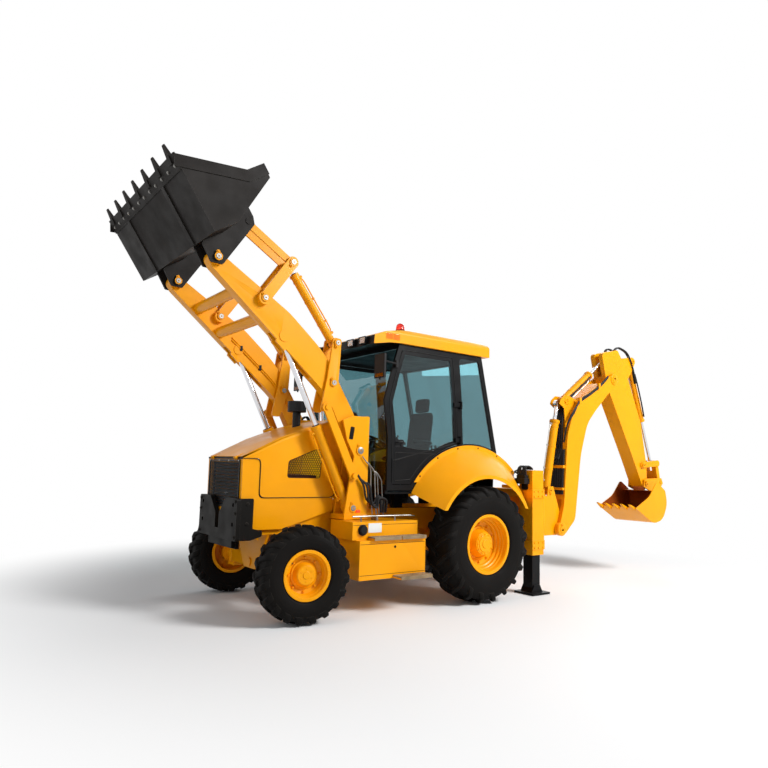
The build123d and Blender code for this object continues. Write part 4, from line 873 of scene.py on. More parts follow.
piece("nose_screws", copies(bolt(0.006, 0.005), screws, FORWARD), "zinc")
print("wires and frame", len(wires), "screws", len(screws))

# %% [markdown]
# The thick guard in front of the nose is a weld of flat plates: the front one has the notch, and one on
# each side runs back to the frame. Heavy bolts hold them together.

# %% Guard sides and bolts
CHEEK = [(2722, 738), (2722, 1146), (2585, 1146), (2585, 850), (2480, 830), (2480, 775), (2600, 738)]
cheek = flat(softened(CHEEK, 14))
cheeks = [prism(cheek, *sorted((hand * 0.462, hand * 0.480))) for hand in HANDS]
cheeks.append(block((2660, 2722), (-300, 300), (650, 742)))
piece("guard_sides", cheeks, "guard_paint", bevel=0.004)
heavy = bolt(0.014, 0.012)
fixings = [copies(heavy, [row(2765, y, z) for y in (-445, 445) for z in (770, 1000, 1115)], FORWARD)]
fixings += [copies(heavy, [row(2650, hand * 480, z) for z in (1095, 900)], (0, hand, 0)) for hand in HANDS]
piece("guard_bolts", fixings, "guard_paint")
print("nose pieces", [name for name in pieces if name.startswith(("nose", "guard", "bonnet_"))])

# %% [markdown]
# ## The loader
# Each pin of the loader is kept from turning by a small plate that is welded to its head and bolted to the
# lever beside it, and each has a grease nipple in its middle. The same part serves every pin: a washer, a
# tongue and one bolt, turned so that the tongue lies along the lever. The pin's own bare end shows inside it.

# %% Pin keepers
ARM_Y = 560
ARM_PIVOT, REAR_LEVER_PIN, LINK_BASE = (1460, 1660), (1820, 2365), (1550, 1390)
LEVER_PIN, BUCKET_PIN, TOP_PIN = (2669, 3138), (3185, 3450), (2375, 3565)
TILT_BASE, LIFT_BASE, LIFT_PIN = (1790, 2800), (1530, 1050), (2407, 2794)


def keeper(at, y, hand, radius, lean=0.0):
    """Returns a pin's end washer with a tongue, and its bolt and nipple, facing hand along Y."""
    way = np.array([sin(lean), 0, cos(lean)])
    place, face = row(at[0], y, at[1]), np.array([0.0, hand, 0.0])
    tip = place + way * (radius * 1.9)
    cross = np.array([way[2], 0, -way[0]]) * radius * 0.55
    outline = [spot[[0, 2]] for spot in (place + cross, tip + cross, tip - cross, place - cross)]
    low, high = sorted((place[1] + hand * 0.001, place[1] + hand * 0.008))
    tongue = prism(softened(outline, radius * 0.4, 4), low, high)
    nipple = [(0, 0), (0, 0.006), (0.006, 0.006), (0.008, 0.003), (0.014, 0.003), (0.015, 0)]
    return joined([turned(disc(radius * 1.25, 0, 0.007), 32, place, face), tongue,
                   placed(bolt(0.010, 0.009), tip - way * radius * 0.45 + face * 0.008, face),
                   turned(nipple, 8, place + face * 0.007, face)])


def pin_heads(name, at, reach, radius, body):
    """Sets the bare steel end of a pin in the middle of each keeper, with its centre hole."""
    head = [(0, radius * 0.95), (0.011, radius * 0.95), (0.013, radius * 0.86), (0.013, radius * 0.25),
            (0.006, radius * 0.2), (0.006, 0)]
    ends = [turned(head, 32, row(at[0], plane + side * reach, at[1]), (0, side, 0))
            for plane in (ARM_Y, -ARM_Y) for side in HANDS]
    piece(name + "_heads", ends, "bare_steel", body)


for name, body, at, reach, washer, head, lean in (
        ("lever_pins", "lever_pins", LEVER_PIN, 123, 0.032, 0.030, 0.6),
        ("bucket_pins", "bucket_pins", BUCKET_PIN, 133, 0.032, 0.030, 0.2),
        ("top_pins", "top_pins", TOP_PIN, 123, 0.032, 0.030, 2.6),
        ("tilt_base_pins", "tilt_base_pins", TILT_BASE, 105, 0.032, 0.030, 2.8),
        ("rear_lever", "rear_levers", REAR_LEVER_PIN, 105, 0.032, 0.030, 0.5),
        ("arm_pivot", "loader_arms", ARM_PIVOT, 114, 0.040, 0.040, 0.3)):
    ends = [keeper(at, side * (ARM_Y + hand * (reach + 0.5)), hand * side, washer, lean)
            for side in HANDS for hand in HANDS]
    piece(name + "_keepers", ends, "yellow_paint", body)
    pin_heads(name, at, reach, head, body)
pin_heads("link_base", LINK_BASE, 110, 0.026, "chassis")
pin_heads("lift_base", LIFT_BASE, 110, 0.032, "chassis")
outer = [keeper(LIFT_BASE, side * (ARM_Y + 110.5), side, 0.036, 0.2) for side in HANDS]
piece("lift_base_keepers", outer, "yellow_paint")
print("keepers", [name for name in pieces if name.endswith("_keepers")])

# %% [markdown]
# A hydraulic cylinder is a plain tube with a screwed head at one end. What makes it read as hydraulic is the
# trim: the head's ring, the wiper round the rod, the two ports, and a thin steel
# line that brings oil from the base to the far port, held to the barrel by bands.

# %% Cylinder trim
def heading(start, end):
    """Returns the direction from one (X, Z) place to another, with length 1."""
    run, rise = end[0] - start[0], end[1] - start[1]
    return np.array([run, 0, rise]) / hypot(run, rise)


def cylinder_trim(name, base, tip, planes, reach, radius, rod, body, turn=1, ports="zinc"):
    """Lays trim on the cylinders between two (X, Z) pins, reach and radii in millimetres."""
    way = heading(base, tip)
    up = np.array([-way[2], 0, way[0]]) * turn
    r, s, end = radius / 1000, rod / 1000, reach / 1000
    high = r + 0.026
    port = [(0, 0), (0, 0.018), (0.020, 0.018), (0.020, 0.013), (0.032, 0.013), (0.032, 0)]
    wiper = [(0, s + 0.0012), (0, s + 0.011), (0.006, s + 0.006), (0.008, s + 0.0012)]
    metal, steel, soft = [], [], []
    for y in planes:
        start = row(base[0], y, base[1])
        metal += [turned(band(-0.012, 0.012, r, r + 0.0035), 40, start + way * end * at, way, True)
                  for at in (0.30, 0.62, 0.90)]
        metal.append(turned(band(-0.004, 0.016, r * 1.1, r * 1.19), 40, start + way * (end - 0.03), way, True))
        soft.append(turned(wiper, 32, start + way * end, way, True))
        steel += [turned(port, 12, start + way * end * at + up * (r - 0.002), up) for at in (0.13, 0.93)]
        line = [(end * 0.13 + 0.02, r + 0.012), (end * 0.22, high), (end * 0.55, high), (end * 0.84, high),
                (end * 0.93 - 0.015, r + 0.014)]
        steel.append(tube([start + way * along + up * out for along, out in line], 0.0075, 8))
        steel += [turned(disc(0.014, -0.010, 0.010), 10, start + way * end * at + up * (high - 0.002), way)
                  for at in (0.30, 0.62)]
    piece(name + "_bands", metal, "yellow_paint", body, bevel=0.001)
    piece(name + "_line", steel, ports, body)
    piece(name + "_wiper", soft, "seal_rubber", body)


PLANES = (ARM_Y, -ARM_Y)
cylinder_trim("lift_barrel", LIFT_BASE, LIFT_PIN, PLANES, 960, 55, 30, "lift_barrels", -1, "yellow_paint")
cylinder_trim("tilt_barrel", TILT_BASE, TOP_PIN, PLANES, 850, 45, 22, "tilt_barrels", 1, "yellow_paint")
print("trim", [name for name in pieces if name.endswith("_line")])

# %% [markdown]
# Oil reaches the tilt cylinders through steel pipes that are clipped along the top of each arm, with a short
# hose at the tower so that the arm can swing. The pipes ride on the arm as it turns.

# %% Pipes and hoses on the arms
ALONG_ARM = [(1640, 2060), (1800, 2290), (1990, 2490), (2240, 2700), (2500, 2910)]
PIPE_Y = 492
pipes = []
for side in HANDS:
    for drop in (-14, 14):
        places = route(side * PIPE_Y, *[(x, z + drop) for x, z in ALONG_ARM])
        pipes.append(tube([row(1500, side * 496, 1790 + drop)] + places, 0.008, 8))
piece("arm_pipes", pipes, "yellow_paint", "loader_arms")
clips = [block((x - 16, x + 16), (PIPE_Y - 8, PIPE_Y + 8), (z - 30, z + 30), side) for side in HANDS
         for x, z in ((1640, 2060), (1860, 2355), (2130, 2612), (2380, 2812))]
piece("arm_clips", clips, "black_paint", "loader_arms", bevel=0.002)
BOW = [(1385, 1180), (1372, 1500), (1378, 1850), (1440, 2062), (1530, 2040), (1560, 1960)]
hoses = [tube(route(side * (505 + 17 * k), *BOW), 0.011) for side in HANDS for k in range(3)]
piece("tower_hoses", hoses, "hose_rubber")
print("arm pipes", len(pipes), "clips", len(clips), "tower hoses", len(hoses))

# %% [markdown]
# The cutting edge of the bucket is a separate steel bar on the real machine, bolted on so that it can be
# renewed when soil has worn it down. Each tower carries a bare plate and a small reflector.

# %% Bucket bolts, tower plates and reflectors
LIP, LIP_WAY = (3790, 4150), heading((0, 0), (410, 605))
out = np.array([LIP_WAY[2], 0, -LIP_WAY[0]])
spots = [row(LIP[0], y, LIP[1]) - LIP_WAY * 0.085 + out * 0.0105 for y in np.linspace(-985, 985, 12)]
piece("bucket_bolts", copies(bolt(0.013, 0.010), spots, out), "bare_steel", "loader_bucket")
outline = softened(flat([(1560, 1775), (1610, 1780), (1590, 1915), (1540, 1910)]), 0.01)
plates = [prism(outline, *sorted((hand * 0.6705, hand * 0.6735))) for hand in HANDS]
piece("tower_plates", plates, "black_paint")
reds = [block((1440, 1500), (670.5, 678), (1000, 1030), hand) for hand in HANDS]
piece("side_reflectors", reds, "amber_glass", bevel=0.003)
print("bucket bolts", len(spots), "tower plates", len(plates), "reflectors", len(reds))

# %% [markdown]
# Where the tower meets the boxes, steel pipes come up from the valve under the cab, bend and end in hoses that
# loop to the lift cylinder. They all stand on the frame, so the group rides on the chassis.

# %% Pipes and loops beside the tower
steel, black = [], []
for hand in HANDS:
    for k in range(4):
        x, y = 1330 - 46 * k, hand * (690 + 12 * (k % 2))
        bend = route(y, (x - 40, 985), (x - 30, 1060), (x - 10, 1300), (x, 1470 - 40 * k),
                     (x + 60, 1545 - 40 * k))
        steel.append(tube(bend + [row(x + 110, hand * 690, 1600 - 50 * k)], 0.0065, 8))
        steel.append(turned(disc(0.012, -0.014, 0.014), 6, row(x - 24, y, 1130), UP))
    for k in range(3):
        back = 30 * k
        loop = route(hand * (712 + 14 * k), (1430 - back, 1290), (1390 - back, 1150 - 26 * k),
                     (1300 - 20 * k, 1100 - 20 * k), (1240, 1180 - 14 * k), (1200 - back, 1130))
        ends = route(hand * 700, (1500 - back, 1400 - 40 * k), (1180 - back, 1000))
        black.append(tube(ends[:1] + loop + ends[1:], 0.012))
        steel.append(tube(route(hand * (720 + 22 * k), (1500, 962), (1200, 966), (760, 962)), 0.007, 8))
    steel.append(block((1290, 1310), (700, 800), (925, 975), hand))
piece("tower_pipes", steel, "bare_steel")
piece("tower_loops", black, "hose_rubber")
print("loader pieces", len(pieces))

# %% [markdown]
# ## The cab
# Each pane sits in a rubber seal, and the doors close on another. A seal is a closed loop of small round
# section that follows the glass, so it needs only the outline of the opening, with its corners rounded.
# The lower half of a door is a black panel whose edge follows the rear fender's circle.

# %% Seals, panels, locks and pulls of the doors
FENDER_AT = (-100, 680)


def loop_of(points, y, radius, corner=45):
    """Returns a round bar that follows a closed (X, Z) outline at y."""
    return swept(route(y, *softened(points, corner, 6)), ring(radius / 1000, 8), steps=0, loop=True)


def fender_arc(radius, first, last, count):
    """Returns (X, Z) places on a circle about the fender's middle, between two angles in degrees."""
    angle = np.radians(np.linspace(first, last, count))
    return list(zip(FENDER_AT[0] + radius * np.cos(angle), FENDER_AT[1] + radius * np.sin(angle)))


DOOR_EDGE = [(1099, 1560), (1099, 1824), (1157, 2218), (1072, 2533), (984, 2814), (221, 2814), (161, 2318),
             (140, 1800)]
SILL = [(1097, 1850), (1060, 1838), (1010, 1775), (960, 1735), (880, 1712), (700, 1700), (520, 1695),
        (392, 1692)]
lower = flat(SILL + fender_arc(1127, 63.2, 34.0, 10)[1:] + [(835, 1306), (1097, 1306)])
press = [(1062, 1345), (1062, 1655), (455, 1655)] + fender_arc(1160, 56, 36, 8)
KEYHOLE = [(0, 0), (0, 0.013), (0.008, 0.013), (0.010, 0.010), (0.010, 0)]
for name, hand in (("door_left", 1), ("door_right", -1)):
    panel = prism(lower, *sorted((hand * 0.7605, hand * 0.7675)))
    piece(name + "_panel", panel, "black_paint", name, bevel=0.002)
    handle = across(hand, (960, 771, 1772), (966, 800, 1772), (1000, 806, 1770), (1040, 800, 1768),
                    (1046, 771, 1768))
    lock = [block((945, 1060), (765, 771), (1715, 1800), hand), tube(handle, 0.009, up=UP),
            turned(KEYHOLE, 20, row(975, hand * 771, 1735), (0, hand, 0))]
    piece(name + "_lock", lock, "black_plastic", name, bevel=0.002)
    seals = [loop_of(DOOR_EDGE, hand * 766, 5), loop_of(press, hand * 768, 4, 20)]
    piece(name + "_seal", seals, "seal_rubber", name)
    pull = across(hand, (1000, 735, 1560), (985, 700, 1600), (985, 700, 1800), (1000, 735, 1840))
    piece(name + "_pull", tube(pull, 0.011), "black_plastic", name)
print("on each door", [name for name in pieces if name.startswith("door_left_")])

# %% [markdown]
# The roof is a moulded cap with a black visor that holds four square working lamps. A lamp is a silver bowl
# behind a ribbed pane; at this size the ribs matter more than the bulb, so the pane is a slab whose front
# is a row of half rounds. The small amber and red lamps in the roof's corners mark the machine's width.

# %% Roof lamps
LAMP_HALF, LAMP_RIM, LAMP_RIBS = 57, 66, 7
bowls, panes, rims = [], [], []
for y in (-600, -360, 360, 600):
    bowls.append(block((1432, 1434), (y - 58, y + 58), (2850, 2920)))
    rims += [block((1430, 1440), (y - LAMP_RIM, y + LAMP_RIM), z) for z in ((2844, 2852), (2918, 2926))]
    rims += [block((1430, 1440), (y + low, y + low + 9), (2852, 2918)) for low in (-LAMP_RIM, LAMP_HALF)]
    t = np.linspace(0, 1, 6 * LAMP_RIBS + 1)
    front = row(1436, 0, 0)[0] + 0.002 * np.abs(np.sin(t * pi * LAMP_RIBS))
    wave = np.column_stack([front, (y - LAMP_HALF + 2 * LAMP_HALF * t) / 1000])
    back = [row(1435, y + edge, 0)[:2] for edge in (LAMP_HALF, -LAMP_HALF)]
    panes.append(prism(np.concatenate([wave, back]), 2.852, 2.918, "Z"))
piece("work_lamp_bowls", bowls, "rod_chrome")
piece("work_lamp_rims", rims, "black_plastic")
piece("work_lamp_panes", panes, "lamp_glass")
print("roof lamps", len(panes))

# %% Beacon, small lamps and mirrors
DOME = [(0.018, 0), (0.018, 0.052), (0.050, 0.051), (0.080, 0.046), (0.098, 0.034), (0.108, 0.016), (0.110, 0)]
foot = turned(disc(0.055, -0.006, 0.018), 40, row(900, 600, 3062), UP)
piece("beacon_foot", foot, "black_plastic", bevel=0.002)
piece("beacon_dome", turned(DOME, 40, row(900, 600, 3050), UP), "red_glass")
for name, finish_name, bevel, x, y, z in (
        ("width_lamps", "amber_glass", 0.006, (1060, 1148), (799, 808), (2905, 2972)),
        ("mirror_reflectors", "amber_glass", 0.001, (1403, 1406), (830, 970), (2452, 2490)),
        ("tail_lamps", "red_glass", 0.003, (-376, -369), (630, 750), (2940, 2985)),
        ("mirror_faces", "mirror_face", 0.0, (1374, 1377.9), (822, 978), (2452, 2688))):
    marks = [block(x, y, z, hand) for hand in HANDS]
    if name == "width_lamps":
        marks += [block((x[0] + 100, x[1] + 100), y, z, hand) for hand in HANDS]
    piece(name, marks, finish_name, "chassis", bevel=bevel)
print("lamps and mirrors", [name for name in pieces if name.startswith(("beacon", "width", "mirror", "tail"))])

# %% [markdown]
# The windscreen has a long wiper that parks upright. Inside, a headliner closes the roof, and a console with
# its levers stands to the right of the seat, with the backhoe's levers behind it.

# %% Wiper, headliner and levers
wiper = [tube(across(1, (1168, 40, 1262), (1176, 60, 1500), (1196, 120, 1850)), 0.006, 8),
         block((1160, 1182), (20, 62), (1245, 1280)),
         tube(across(1, (1182, 110, 1600), (1196, 120, 1850), (1218, 132, 2120)), 0.005, 8)]
piece("wiper", wiper, "black_plastic")
piece("headliner", block((-240, 980), (-730, 730), (2836, 2850)), "black_plastic", bevel=0.004)
LOADER_KNOB = [(-0.028, 0), (-0.024, 0.014), (0, 0.021), (0.020, 0.017), (0.028, 0)]
HOE_KNOB = [(-0.024, 0), (-0.020, 0.012), (0, 0.019), (0.018, 0.015), (0.024, 0)]
levers = []
for places, stem, knob, top in (
        ((-330, -290), [(330, 1560), (350, 1700), (345, 1800)], LOADER_KNOB, (345, 1815)),
        ((-200, -120, 120, 200), [(-330, 1480), (-320, 1650), (-300, 1760)], HOE_KNOB, (-299, 1775))):
    for y in places:
        levers += [tube(route(y, *stem), 0.008, 8), turned(knob, 16, row(top[0], y, top[1]), UP)]
levers += [block((200, 560), (-390, -250), (1221, 1560)), block((-420, -250), (-300, 300), (1221, 1490))]
piece("levers", levers, "black_plastic", bevel=0.004)
COLUMN = (-0.387, 0, 0.922)
boss = [(-0.014, 0), (-0.014, 0.045), (0.012, 0.045), (0.022, 0.030), (0.022, 0)]
spinner = [(-0.012, 0), (-0.018, 0.016), (0.0, 0.021), (0.022, 0.017), (0.028, 0)]
on_wheel = [turned(boss, 28, row(812, 0, 1806), COLUMN), turned(spinner, 16, row(760, 150, 1800), COLUMN)]
piece("wheel_boss", on_wheel, "black_plastic")
print("parts of the levers and console", len(levers))

# %% [markdown]
# The seat is foam under cloth. Foam pushes the cover out into a crown, the seams pull it in, and the corners
# are soft, so a cushion is a box with rounded powers: each side is sign(c)|c|^e of a sphere's own sides, with
# a small e. Two grooves and fine puckers across them are added along the surface, deepest at the seam, and a
# cord of piping runs round the edge.

# %% Cushions
def power(value, share):
    """Raises to a power and keeps the sign."""
    return np.sign(value) * np.abs(value) ** share


def cushion(centre, half, lean=0.0, seams=(-0.36, 0.36), crown=0.018):
    """Returns a crowned cushion: a soft box turned by lean about Y, grooved at shares of its width."""
    u = np.linspace(-pi / 2, pi / 2, 49)[:, None]
    v = np.linspace(0, 2 * pi, 96, endpoint=False)[None, :]
    x = power(np.cos(u), 0.22) * power(np.cos(v), 0.30) * half[0]
    y = power(np.cos(u), 0.22) * power(np.sin(v), 0.30) * half[1]
    z = power(np.sin(u), 0.55) * half[2] + 0 * v
    inner = (1 - (x / half[0]) ** 2) * (1 - (y / half[1]) ** 2)
    z = z + np.sign(z) * crown * (inner - 1)
    groove = sum(np.exp(-((y / half[1] - s) / 0.035) ** 2) for s in seams)
    pucker = sum(np.exp(-((y / half[1] - s) / 0.16) ** 2) for s in seams) * np.sin(x / half[0] * 34)
    z = z - np.sign(z) * inner ** 0.25 * (0.010 * groove + 0.0016 * pucker)
    turn = np.array([[cos(lean), 0, sin(lean)], [0, 1, 0], [-sin(lean), 0, cos(lean)]])
    grid = np.stack([x, y, z], -1) @ turn.T + np.array(centre)
    corners = [(half[0] * sx, half[1] * sy) for sx, sy in ((-1, -1), (1, -1), (1, 1), (-1, 1))]
    edge = softened(corners, 0.07, 8) * 0.985
    cord = np.column_stack([edge, np.zeros(len(edge))]) @ turn.T + np.array(centre)
    piping = swept(cord, ring(0.0045, 8), tuple(turn[:, 2]), 0, loop=True)
    return surface_of(grid[1:-1], loop_v=True, caps=True), piping


cushions = [cushion(row(300, 0, 1597), (0.236, 0.236, 0.052)),
            cushion(row(80, 0, 1925), (0.272, 0.226, 0.044), pi / 2 - 0.13),
            cushion(row(40, 0, 2290), (0.088, 0.128, 0.034), pi / 2 - 0.08, seams=(), crown=0.010)]
made = piece("seat_cushions", [foam for foam, cord in cushions], "seat_cloth", angle=60)
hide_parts("seat")
piece("seat_piping", [cord for foam, cord in cushions], "seal_rubber")
arms = [tube(route(y, (110, 1800), (200, 1815), (400, 1815)), 0.022, 12) for y in (-262, 262)]
piece("seat_arms", arms, "black_plastic")
print("cab pieces", len(pieces))

# %% [markdown]
# ## Steps, boxes and fenders
# The driver climbs over two treads of punched metal that are brown with dried mud. A tread is a folded
# plate, and what gives grip is a pattern of raised ovals in alternate directions, so one oval is made once
# and placed all over by an array of places and turns.

# %% Treads
def oval(place, turn, long=0.013, wide=0.0045, high=0.0022):
    """Returns a raised oval with a flat top."""
    angle = np.linspace(0, 2 * pi, 8, endpoint=False)
    low = np.column_stack([long * np.cos(angle), wide * np.sin(angle)])
    spin = np.array([[cos(turn), -sin(turn)], [sin(turn), cos(turn)]])
    rings = [np.column_stack([(low * size) @ spin.T, np.full(8, level)])
             for size, level in ((1, -0.001), (0.7, high))]
    return surface_of(np.stack(rings) + np.array(place), loop_v=True, caps=True)


TREADS_AT = [((800, 1210), (985, 1130), 370), ((1140, 1480), (902, 1020), 765), ((800, 1120), (902, 1020), 765)]
TREAD_T = 12
treads, studs = [], []
for hand in HANDS:
    for (x0, x1), (y0, y1), z in TREADS_AT:
        low, edge = min(hand * y0, hand * y1), hand * y1
        treads.append(block((x0 - 4, x1 + 4), (y0, y1), (z - 3, z + TREAD_T), hand))
        treads.append(block((x0 - 4, x1 + 4), (edge - 2, edge + 2), (z - 22, z + TREAD_T)))
        nx, ny = int((x1 - x0) / 34), int((y1 - y0) / 30)
        step_x, step_y = (x1 - x0 - 30) / (nx - 1), (y1 - y0 - 32) / (ny - 1)
        studs += [oval(row(x0 + 18 + i * step_x, low + 16 + k * step_y, z + TREAD_T),
                       pi / 4 if (i + k) % 2 else -pi / 4) for i in range(nx) for k in range(ny)]
piece("step_treads", treads, "tread_metal", bevel=0.0015)
piece("step_studs", studs, "tread_metal")
print("treads", len(treads) // 2, "ovals", len(studs))

# %% [markdown]
# The fuel tank has a dark screw cap with grip ribs, and a bare white plate is riveted beside it. The boxes
# are folded from sheet, so thin open seams show where their lids and floors meet the walls.

# %% Cap, plate, seams and latches
CAP = [(0.0, 0.0), (0.0, 0.056), (0.008, 0.056), (0.010, 0.050), (0.010, 0.046), (0.030, 0.044), (0.036, 0.038),
       (0.037, 0.0)]
rib = slab((-0.0025, 0.010, 0.043), (0.0025, 0.031, 0.049))
ribs = [rib]
for a in np.linspace(0, 2 * pi, 24, endpoint=False):
    ribs.append((rib[0] @ np.array([[cos(a), 0, sin(a)], [0, 1, 0], [-sin(a), 0, cos(a)]]).T, rib[1]))
piece("fuel_cap", placed(joined([spun(CAP, 48)] + ribs), row(1557, 900, 842)), "black_plastic")
piece("bare_plate", block((1314, 1484), (900, 902.5), (813, 909)), "white_plate", bevel=0.0008)
rivets = copies(spun([(0, 0), (0, 0.004), (0.002, 0.003), (0.0025, 0)], 10),
                [row(x, 902.5, z) for x in (1322, 1476) for z in (821, 901)])
piece("plate_rivets", rivets, "zinc")
seams = [block(x, (y, y + 1.2), (z - 2, z + 2), hand) for hand in HANDS
         for z, x, y in ((706, (783, 1632), 980), (398, (783, 1632), 980), (893, (833, 1672), 900))]
piece("box_seams", seams, "seal_rubber")
LATCH = [(0, 0), (0, 0.013), (0.004, 0.013), (0.005, 0.009), (0.003, 0.007), (0.003, 0)]
latches = [turned(LATCH, 20, row(1190, hand * 980, 668), (0, hand, 0)) for hand in HANDS]
piece("box_latches", latches, "black_paint")
print("box seams", len(seams), "latches", len(latches))

# %% [markdown]
# A rolled edge stiffens each rear fender, and bolts hold the fender to the cab. A low rail of round bar runs
# over the boxes on two posts.

# %% Fender bolts and rail
bolts = [copies(bolt(0.008, 0.006), route(hand * 774, *fender_arc(1074, 42, 132, 6)), (0, hand, 0))
         for hand in HANDS]
piece("fender_bolts", bolts, "black_paint")
rails = []
for hand in HANDS:
    rails.append(tube(route(hand * 872, (1668, 978), (1300, 980), (900, 978)), 0.008, 8))
    rails += [tube(route(hand * 872, (x, 924), (x, 978)), 0.008, 8, steps=2) for x in (1120, 1560)]
piece("step_rails", rails, "bare_steel")
print("box pieces", len(pieces))

# %% [markdown]
# ## The backhoe
# The digging arm's pins are larger and sit in thick collars, each welded round with a visible bead. The
# cylinders get the same trim as the loader's, on the side away from the arm, where a stone can't reach.

# %% Collars, keepers and cylinder trim
HOE_Y = 580
BOOM_FOOT, BOOM_BASE, BOOM_EYE = (-1850, 720), (-1690, 1230), (-1950, 2440)
DIPPER_PIN, DIPPER_BASE, DIPPER_EYE = (-3100, 2890), (-2060, 2490), (-3170, 3270)
HOE_BASE, TIP_PIN, TIP_END, HOE_PIN = (-3700, 3240), (-3860, 1630), (-4265, 1660), (-3920, 1340)


def collar(at, y, hand, inner, outer, thick=14):
    """Returns a thick washer and its weld bead on a side at y."""
    washer = [(0, inner), (0, outer), (thick * 0.8, outer), (thick, outer * 0.93), (thick, inner)]
    bead = [(-1, outer), (1, outer + 6), (4, outer + 4), (7, outer)]
    parts = [spun(np.array(line) / 1000, 48, True) for line in (washer, bead)]
    return placed(joined(parts), row(at[0], y, at[1]), (0, hand, 0))


for body, rows in (
        ("boom", ((DIPPER_PIN, 150, 42, 82, 14), (BOOM_FOOT, 150, 42, 86, 14), (DIPPER_BASE, 86, 30, 52, 8))),
        ("dipper", ((TIP_PIN, 105, 30, 58, 7), (HOE_PIN, 105, 30, 56, 8), (HOE_BASE, 82, 30, 56, 7)))):
    collars = [collar(at, HOE_Y + hand * y, hand, inner, outer, thick) for at, y, inner, outer, thick in rows
               for hand in HANDS]
    piece(body + "_collars", collars, "yellow_paint", body, bevel=0.001)
for name, at, y, radius, body, lean in (
        ("boom_foot", BOOM_FOOT, 162, 0.040, "kingpost", 0.2),
        ("boom_base", BOOM_BASE, 95, 0.028, "kingpost", 3.0),
        ("dipper_pin", DIPPER_PIN, 162, 0.038, "dipper", 2.6),
        ("hoe_base", HOE_BASE, 90, 0.028, "dipper", 2.4),
        ("dipper_base", DIPPER_BASE, 90, 0.028, "boom", 2.2),
        ("hoe_pin", HOE_PIN, 145, 0.028, "hoe_bucket", 0.6),
        ("tip_pin", TIP_PIN, 137, 0.028, "tipping_levers", -1.5)):
    ends = [keeper(at, HOE_Y + hand * (y + 0.5), hand, radius, lean) for hand in HANDS]
    piece(name + "_keepers", ends, "yellow_paint", body)
cylinder_trim("boom_barrel", BOOM_BASE, BOOM_EYE, (HOE_Y,), 1000, 60, 32, "boom_barrel", -1)
cylinder_trim("dipper_barrel", DIPPER_BASE, DIPPER_EYE, (HOE_Y,), 770, 55, 30, "dipper_barrel")
cylinder_trim("hoe_barrel", HOE_BASE, TIP_END, (HOE_Y,), 980, 50, 26, "hoe_bucket_barrel")
print("backhoe trim", [name for name in pieces if name.endswith(("_collars", "_bands"))])

# %% [markdown]
# Hoses climb from the kingpost between the boom and its cylinder and fan out at the bend. They are clamped to
# the boom by bands, so they ride on it; a second bunch bends over the dipper's head, and short bows leave
# the frame for the kingpost. A hose is a list of places, and its neighbours are the same list moved sideways.

# %% Hoses of the boom
def hose(middle, offset, places, radius=0.011):
    """Returns a hose through (x, z, share) places: each lies at middle plus share times offset along Y."""
    return tube([row(x, middle + offset * share, z) for x, z, share in places], radius)


bunch = []
for k, y in enumerate((-54, -18, 18, 54)):
    inner = [(-1905, 1660, 1), (-1975 - 3 * k, 1820, 1), (-1992, 2050, 1), (-2010, 2240, 0.95),
             (-2100, 2400, 0.9), (-2230, 2570, 0.85), (-2420, 2740, 0.8), (-2560, 2800, 0.8)]
    bunch.append(hose(HOE_Y, y, inner, 0.0135))
for side in HANDS:
    for k in range(2):
        y, lift = HOE_Y + side * (163 + 4 * k), 24 * k
        foot = [row(-1972, HOE_Y + side * 96, 1900), row(-2010, HOE_Y + side * 128, 2140)]
        bunch.append(tube(foot + route(y, (-2100 - lift, 2330), (-2250, 2478 + lift), (-2480, 2600 + lift),
                                       (-2740, 2752 + lift), (-2930, 2900 + lift)), 0.011))
for k in range(7):
    thick = [(-1912, 1180, 1), (-1921, 1400, 1), (-1941, 1640, 1), (-1958, 1800, 0.97)]
    bunch.append(hose(HOE_Y, 37 * k - 111, thick, 0.0165))
piece("boom_hoses", bunch, "hose_rubber", "boom")
bands = [block((-1965, -1902), (HOE_Y - 140, HOE_Y + 140), (1540, 1580)),
         block((-1950, -1884), (HOE_Y - 140, HOE_Y + 140), (1240, 1275))]
bands += [block((x - 22, x + 22), (y - 16, y + 20), (z - 34, z + 50)) for x, z in ((-2250, 2490), (-2700, 2742))
          for y in (HOE_Y + 163, HOE_Y - 163)]
piece("hose_bands", bands, "yellow_paint", "boom", bevel=0.003)
print("boom hoses", len(bunch))

# %% Hoses of the dipper, its cylinders and the frame
back = [hose(HOE_Y, y, [(-3120, 3190 + 8 * k, 1), (-3250, 3390, 1.5), (-3400, 3400, 1.5), (-3560, 3330, 1.5),
                        (-3690, 3120, 1.45), (-3770, 2900, 1.35)]) for k, y in enumerate((-66, -48, 48, 66))]
piece("dipper_hoses", back, "hose_rubber", "dipper")
for name, base, tip, body, places in (
        ("hoe_barrel_hoses", HOE_BASE, TIP_END, "hoe_bucket_barrel",
         ((0.20, 74), (0.42, 80), (0.70, 78), (0.90, 70))),
        ("dipper_barrel_hoses", DIPPER_BASE, DIPPER_EYE, "dipper_barrel",
         ((0.10, 62), (0.30, 78), (0.52, 78), (0.70, 72)))):
    way = heading(base, tip)
    beside = [tube([row(base[0], HOE_Y + side * off, base[1]) + way * along for along, off in places], 0.011)
              for side in HANDS]
    piece(name, beside, "hose_rubber", body)
bow = [hose(HOE_Y, y, [(-1100, 1330, 1.1), (-1260, 1470 + 20 * (k % 2), 1.2), (-1420, 1380, 1.05),
                       (-1480, 1235, 0.72)], 0.012) for k, y in enumerate((-150, -110, 110, 150))]
piece("carriage_hoses", bow, "hose_rubber", "carriage")
valve = [block((-850, -760), (870, 1030), (1330, 1400)), block((-840, -780), (880, 1020), (1400, 1440)),
         block((-870, -850), (900, 1000), (1250, 1400))]
